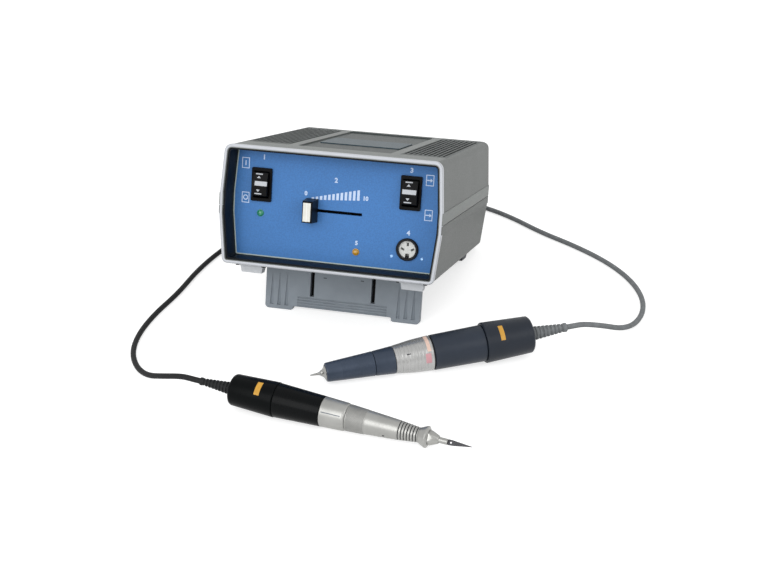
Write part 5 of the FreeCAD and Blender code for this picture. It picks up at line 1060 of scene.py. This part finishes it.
class MICROMOTOR_OT_rotary(bpy.types.Operator):
    """Turns the rotary handpiece's cap, sleeves, chuck ring, nose, cone and needle, and lays its patches"""
    bl_idname = "micromotor.rotary"
    bl_label = "Rotary handpiece"

    def execute(self, context):
        looks = context.scene.micromotor_handpieces
        hold = (lying(ROTARY_LIES), looks.sides, "rotary_handpiece")
        slate = tuple(looks.slate_colour)
        bright = lathe_metal("cone steel", tuple(looks.steel_colour), 0.26, 0.85, 0.0003, 0.00001, 0.04)
        self.rear(hold, slate)
        self.ring(hold, tuple(looks.chuck_colour))
        self.nose(hold, slate, bright)
        self.marks(hold[0])
        relief_skin = rubber("rotary relief rubber", tuple(context.scene.micromotor_cords.grey_colour))
        shell_piece(hold, "rotary_relief_shell", relief_corners(ROTARY_RELIEF, 5.4, 3.2), 0.25, relief_skin,
                    "relief_grey", "rotary_strain_relief", sides=min(looks.sides, SMALL_SIDES))
        self.needle(hold, bright)
        return {"FINISHED"}

    def rear(self, hold, slate):
        """Rear cap, motor sleeve and front sleeve, which share one slate tone in three shades."""
        cap_skin = lathe_metal("cap plastic", shades(slate, 0.36)[0], 0.42, 0.0, 0.0008, 0.00002, 0.06)
        shell_piece(
            hold, "rotary_cap_shell",
            [(0, 3.95), (0, 12.75), (1.2, 13.95), (36.8, 15.35), (37.4, 14.85), (37.4, 11.45), (14, 11.45),
             (13, 10.6), (2.5, 10.6), (2.5, 3.95)],
            [0.05, 0.6, 0.8, 0.4, 0.3, 0.1, 0.1, 0.1, 0.1, 0.05], cap_skin, "slate_plastic",
            "rotary_rear_cap")
        motor_skin = lathe_metal("motor sleeve plastic", slate, 0.4, 0.0, 0.0008, 0.00002, 0.06)
        shell_piece(
            hold, "rotary_motor_shell",
            [(16, 10.6), (16, 11.4), (37.7, 11.4), (37.7, 13.35), (38.2, 13.75), (77.0, 13.15), (77.4, 12.75),
             (77.4, 10.6)],
            [0.1, 0.1, 0.05, 0.2, 0.3, 0.3, 0.3, 0.1], motor_skin, "slate_plastic", "rotary_motor_sleeve")
        front_skin = lathe_metal("front sleeve anodise", shades(slate, 0.85)[1], 0.36, 0.25, 0.0006, 0.000015,
                                 0.06)
        shell_piece(
            hold, "rotary_front_shell",
            [(66, 7.0), (66, 10.55), (77.45, 10.55), (77.45, 11.6), (78.1, 11.6), (78.1, 8.55), (107.1, 8.55),
             (107.1, 10.35), (121.5, 9.25), (122.0, 8.85), (122.0, 6.6), (133.5, 6.6), (133.5, 5.0),
             (117.5, 5.0),
             (117.5, 7.0)],
            [0.1, 0.1, 0.05, 0.1, 0.1, 0.05, 0.05, 0.3, 0.5, 0.3, 0.05, 0.1, 0.1, 0.1, 0.1], front_skin,
            "slate_metal", "rotary_front_sleeve")

    def ring(self, hold, colour):
        """Chuck ring with fine rings, and a dark ring of painted shade in the gap behind it."""
        skin = lathe_metal("chuck ring metal", colour, 0.3, 0.7, 0.0005, 0.00002, 0.06)
        shell_piece(
            hold, "rotary_ring_shell",
            corner_list([(78.4, 8.6), (78.4, 12.65), (78.9, 13.15)], ringed(82.4, 92.6, (12.92, 12.25), 4,
                                                                            0.3, 0.12),
                        ringed(92.6, 103.8, (12.25, 10.79), 4, 0.3, 0.12),
                        [(106.4, 10.45), (106.8, 10.05), (106.8, 8.6)]),
            0.12, skin, "chuck_metal", "rotary_chuck_ring", body="rotary_chuck_ring")
        # Painted shade: a dark ring standing for the shade in the gap between the front sleeve and the chuck
        # ring
        shade = coated("groove shade", (0.02, 0.022, 0.025), 0.6, 0, 0.2, 0.002, specular=0.1)
        shell_piece(hold, "rotary_ring_gap_shade", [(77.42, 9.0), (77.42, 11.9), (78.38, 11.9), (78.38, 9.0)], 0,
                    shade,
                    "slate_metal")

    def marks(self, axes):
        """Gilt patch on the cap, and peach and pink patches and a tick on the chuck ring."""
        on_ring = ("rotary_chuck_ring", "chuck_metal")
        patches(axes, (
            ("rotary_gilt_patch", (23.5, 27.0), (28, 74), (14.83, 14.97), 0.06,
             coated("gilt patch", hue(196, 148, 62), 0.42, 0, 0.08, 0.003), "rotary_handpiece",
             "slate_plastic"),
            ("rotary_peach_patch", (80.4, 83.1), (36, 110), (13.05, 12.87), 0.06,
             coated("peach patch", hue(214, 186, 172), 0.45, 0, 0.06, 0.003), *on_ring),
            ("rotary_pink_patch", (80.9, 85.1), (-3, 30), (13.02, 12.74), 0.06,
             coated("pink patch", hue(200, 150, 156), 0.45, 0, 0.08, 0.003), *on_ring),
            ("rotary_ring_tick", (95.6, 98.6), (38, 42), (11.85, 11.46), 0.06,
             coated("tick ink", hue(40, 42, 46), 0.5, 0, 0.1, 0.002), *on_ring)))

    def nose(self, hold, slate, bright):
        """Ringed nose sleeve and steel cone."""
        nose_skin = lathe_metal("nose anodise", shades(slate, 1.15)[1], 0.36, 0.25, 0.0005, 0.00002, 0.06)
        shell_piece(
            hold, "rotary_nose_shell",
            corner_list([(122.25, 6.65), (122.25, 8.8), (122.65, 9.2)],
                        ringed(123.25, 147.25, (9.14, 7.75), 22, 0.3, 0.12),
                        [(157.2, 7.1), (158.04, 6.74), (158.4, 5.9), (158.4, 4.6), (152.4, 4.6),
                         (152.4, 5.55),
                         (133.8, 5.55), (133.8, 6.65)]),
            0.12, nose_skin, "slate_metal", "rotary_nose_sleeve")
        shell_piece(
            hold, "rotary_cone_shell",
            [(155.4, 1.7), (155.4, 4.55), (158.4, 4.55), (158.4, 5.5), (158.9, 5.5), (159.8, 3.6),
             (160.8, 2.6),
             (162.2, 1.95), (162.2, 1.7)],
            [0.05, 0.05, 0.02, 0.15, 0.25, 0.8, 0.8, 0.1, 0.05], bright, "polished_steel", "rotary_nose_cone")

    def needle(self, hold, bright):
        """Needle in its collet."""
        shell_piece(
            hold, "rotary_needle_shell",
            [(130.5, 0), (130.5, 1.175), (163.2, 1.175), (164.6, 0.95), (169.4, 0.5), (169.8, 0.25),
             (169.8, 0)],
            [0, 0.2, 0.3, 0.5, 0.3, 0.15, 0], bright, "polished_steel", "rotary_needle", body="rotary_collet",
            sides=48)
        dress(coated("collet steel", hue(176, 177, 178), 0.28, 1.0, 0.06, 0.003), "rotary_collet")


class MICROMOTOR_OT_recip(bpy.types.Operator):
    """Turns the reciprocating handpiece's cap, barrel, collar, body, nut and plunger, and finishes its
    blade"""
    bl_idname = "micromotor.recip"
    bl_label = "Reciprocating handpiece"

    def execute(self, context):
        looks = context.scene.micromotor_handpieces
        hold = (lying(RECIP_LIES), looks.sides, "recip_handpiece")
        steel = tuple(looks.steel_colour)
        bright = lathe_metal("nut steel", steel, 0.34, 0.8, 0.0004, 0.00001, 0.04)
        # Painted shade for the bottoms of the neck's grooves and for the pin hole
        shade = coated("neck shade", (0.035, 0.037, 0.04), 0.6, 0, 0.2, 0.002, specular=0.1)
        self.rear(hold, tuple(looks.black_colour))
        self.body(hold, steel, shade)
        self.nut(hold, bright)
        shell_piece(
            hold, "recip_plunger_shell",
            [(96.1, 0), (96.1, 5.4), (98.6, 5.4), (98.6, 2.1), (160.2, 2.1), (160.2, 0)],
            [0, 0.2, 0.2, 0.1, 0.25, 0], bright, "polished_steel", "recip_plunger", body="recip_blade",
            sides=64)
        self.marks(hold[0], shade)
        dress(coated("blade steel", hue(52, 52, 54), 0.36, 0.8, 0.1, 0.003, soft_edge=0.0001), "recip_blade")
        relief_skin = rubber("recip relief rubber", tuple(context.scene.micromotor_cords.black_colour), 0.5)
        shell_piece(hold, "recip_relief_shell", relief_corners(RECIP_RELIEF, 4.6, 2.6), 0.25, relief_skin,
                    "relief_black", "recip_strain_relief", sides=min(looks.sides, SMALL_SIDES))
        return {"FINISHED"}

    def rear(self, hold, black):
        """Black rear cap and black barrel."""
        cap_skin = lathe_metal("black cap plastic", black, 0.32, 0.0, 0.0008, 0.000015, 0.1, 0.05, 0.06)
        shell_piece(
            hold, "recip_cap_shell",
            [(0, 3.95), (0, 9.75), (0.6, 10.75), (1.8, 11.35), (33.9, 12.55), (34.5, 12.15), (34.5, 10.65),
             (12, 10.65), (11, 9.3), (2.5, 9.3), (2.5, 3.95)],
            [0.05, 0.5, 0.5, 0.8, 0.4, 0.3, 0.1, 0.1, 0.1, 0.1, 0.05], cap_skin, "black_plastic",
            "recip_rear_cap")
        barrel_skin = lathe_metal("black barrel anodise", black, 0.28, 0.0, 0.0006, 0.000015, 0.1, 0.05, 0.08)
        shell_piece(
            hold, "recip_barrel_shell",
            [(14, 9.3), (14, 10.6), (34.75, 10.6), (34.75, 11.95), (35.15, 12.25), (69.1, 10.75),
             (69.5, 10.45),
             (69.5, 9.3)],
            [0.1, 0.1, 0.05, 0.2, 0.3, 0.3, 0.2, 0.1], barrel_skin, "black_metal", "recip_barrel")

    def body(self, hold, steel, shade):
        """Steel collar and body, painted shade in the grooves of its neck, and the knurled grip band."""
        axes, sides, hand = hold
        collar_skin = lathe_metal("collar steel", steel, 0.4, 0.75, 0.0005, 0.00001, 0.05)
        shell_piece(
            hold, "recip_collar_shell",
            [(61.1, 7.6), (61.1, 9.25), (69.7, 9.25), (69.7, 10.5), (70.0, 10.7), (85.8, 9.95), (87.2, 9.65),
             (88.0, 8.95), (88.0, 7.6)],
            [0.1, 0.1, 0.05, 0.1, 0.2, 0.8, 0.6, 0.3, 0.1], collar_skin, "polished_steel", "recip_collar")
        body_skin = lathe_metal("body steel", steel, 0.4, 0.75, 0.0006, 0.00001, 0.05)
        shell_piece(
            hold, "recip_body_shell",
            corner_list([(79.2, 6.2), (79.2, 7.55), (88.2, 7.55), (88.2, 9.1), (88.5, 9.38), (99.6, 8.68),
                         (102.0, 8.5), (102.3, 8.32), (102.6, 8.46), (125.3, 6.85)],
                        ringed(125.3, 139.9, (6.85, 5.2), 7, 0.65, 0.6),
                        [(139.9, 5.2), (139.9, 3.6), (144.8, 3.6), (144.8, 2.15), (113.1, 2.15),
                         (113.1, 6.2)]),
            0.18, body_skin, "polished_steel", "recip_body")
        # Painted shade: a dark cone at the bottoms of the neck's grooves
        shell_piece(hold, "recip_neck_groove_shade", [(125.8, 5.9), (125.8, 6.35), (139.4, 4.8), (139.4, 4.3)], 0,
                    shade, "polished_steel")
        band = rounded([(88.9, 9.2), (88.9, 9.44), (99.6, 8.77), (101.8, 8.61), (101.8, 8.4)], 0.08, 2)
        put(turned("recip_grip_band", band, axes, sides), knurled("grip knurl", hue(150, 150, 147)), hand,
            "polished_steel")

    def marks(self, axes, shade):
        """Gilt patch on the cap, a painted reflection as a dark line along the collar, and painted shade for
        the pin hole in the body.
        """
        hand = "recip_handpiece"
        patches(axes, (
            ("recip_gilt_patch", (20.6, 24.6), (97, 146), (12.05, 12.20), 0.06,
             coated("gilt patch", hue(200, 150, 60), 0.42, 0, 0.08, 0.003), hand, "black_plastic"),
            # Painted reflection: a thin dark line along the polished collar
            ("recip_collar_reflection_line", (71.0, 85.0), (147.9, 151.1), (10.65, 9.99), 0.03,
             coated("collar painted reflection", hue(78, 84, 92), 0.4, 0.5, 0.1, 0.002), hand, "polished_steel"),
            # Painted shade: a dark patch standing for the pin hole
            ("recip_pin_hole", (115.7, 117.1), (199, 209), (7.54, 7.44), 0.03, shade, hand,
             "polished_steel")))

    def nut(self, hold, mat):
        """Flared nose nut: turned outline whose front cone is cut by six flats. The radius at angle a is the
        smaller of the turned one and the flats' distance / cos of the angle from the nearest flat's
        middle."""
        axes, sides, hand = hold
        flat_at, flats_from, sixth = 4.7, 146.8, np.pi / 3
        line = rounded([(140.05, 3.65), (140.05, 5.35), (144.7, 7.5), (145.3, 7.7), (145.9, 7.5),
                        (146.78, 5.84),
                        (146.84, 5.78), (153.5, 3.0), (154.0, 2.6), (154.0, 2.25), (145.3, 2.25),
                        (145.3, 3.65)],
                       [0.05, 0.3, 0.4, 0.4, 0.3, 0, 0, 0.4, 0.2, 0.05, 0.05, 0.05], 3)
        quarters = np.linspace(0, 1, 5)[:-1, None]
        line = np.concatenate([p + (q - p) * quarters for p, q in zip(line, np.roll(line, -1, 0))])
        a = np.linspace(0, 2 * np.pi, sides, endpoint=False)
        s, r = line[:, :1], line[:, 1:]
        flat = flat_at / np.cos(np.abs((a / sixth) % 1.0 - 0.5) * sixth)
        radius = np.where(s > flats_from, np.minimum(r, flat), r)
        pitch = 0.0003
        uv = grid_uv(np.arange(len(line) + 1) * pitch, pitch, len(line), sides)
        piece = build("recip_nut_shell", spun(s, radius, a, axes), grid_faces(len(line), sides), uv, 30.0)
        put(piece, mat, hand, "polished_steel", "recip_nose_nut")


class MICROMOTOR_PT_panel(bpy.types.Panel):
    """Lists the sizes, the colours and the pieces"""
    bl_idname = "MICROMOTOR_PT_panel"
    bl_label = "Micromotor set"
    bl_space_type = "VIEW_3D"
    bl_region_type = "UI"
    bl_category = "Micromotor"

    def draw(self, context):
        for title, looks in (("Unit", context.scene.micromotor_unit),
                             ("Handpieces", context.scene.micromotor_handpieces),
                             ("Cords", context.scene.micromotor_cords),
                             ("Studio", context.scene.micromotor_studio)):
            column = self.layout.column()
            column.label(text=title)
            for key in looks.__annotations__:
                column.prop(looks, key)
        for operator in PIECES:
            self.layout.operator(operator.bl_idname)


GROUPS = (("micromotor_unit", UnitLooks), ("micromotor_handpieces", HandpieceLooks),
          ("micromotor_cords", CordLooks), ("micromotor_studio", StudioLooks))
PIECES = (MICROMOTOR_OT_stage, MICROMOTOR_OT_cords, MICROMOTOR_OT_case, MICROMOTOR_OT_panel,
          MICROMOTOR_OT_inside,
          MICROMOTOR_OT_rotary, MICROMOTOR_OT_recip)


def register():
    for name, group in GROUPS:
        bpy.utils.register_class(group)
        setattr(bpy.types.Scene, name, PointerProperty(type=group))
    for kind in PIECES + (MICROMOTOR_PT_panel,):
        bpy.utils.register_class(kind)


def unregister():
    for kind in reversed(PIECES + (MICROMOTOR_PT_panel,)):
        bpy.utils.unregister_class(kind)
    for name, group in reversed(GROUPS):
        delattr(bpy.types.Scene, name)
        bpy.utils.unregister_class(group)


def main():
    register()
    bpy.ops.micromotor.stage()
    bpy.ops.micromotor.cords()
    bpy.ops.micromotor.case()
    bpy.ops.micromotor.panel()
    bpy.ops.micromotor.inside()
    bpy.ops.micromotor.rotary()
    bpy.ops.micromotor.recip()


if __name__ == "__main__":
    main()
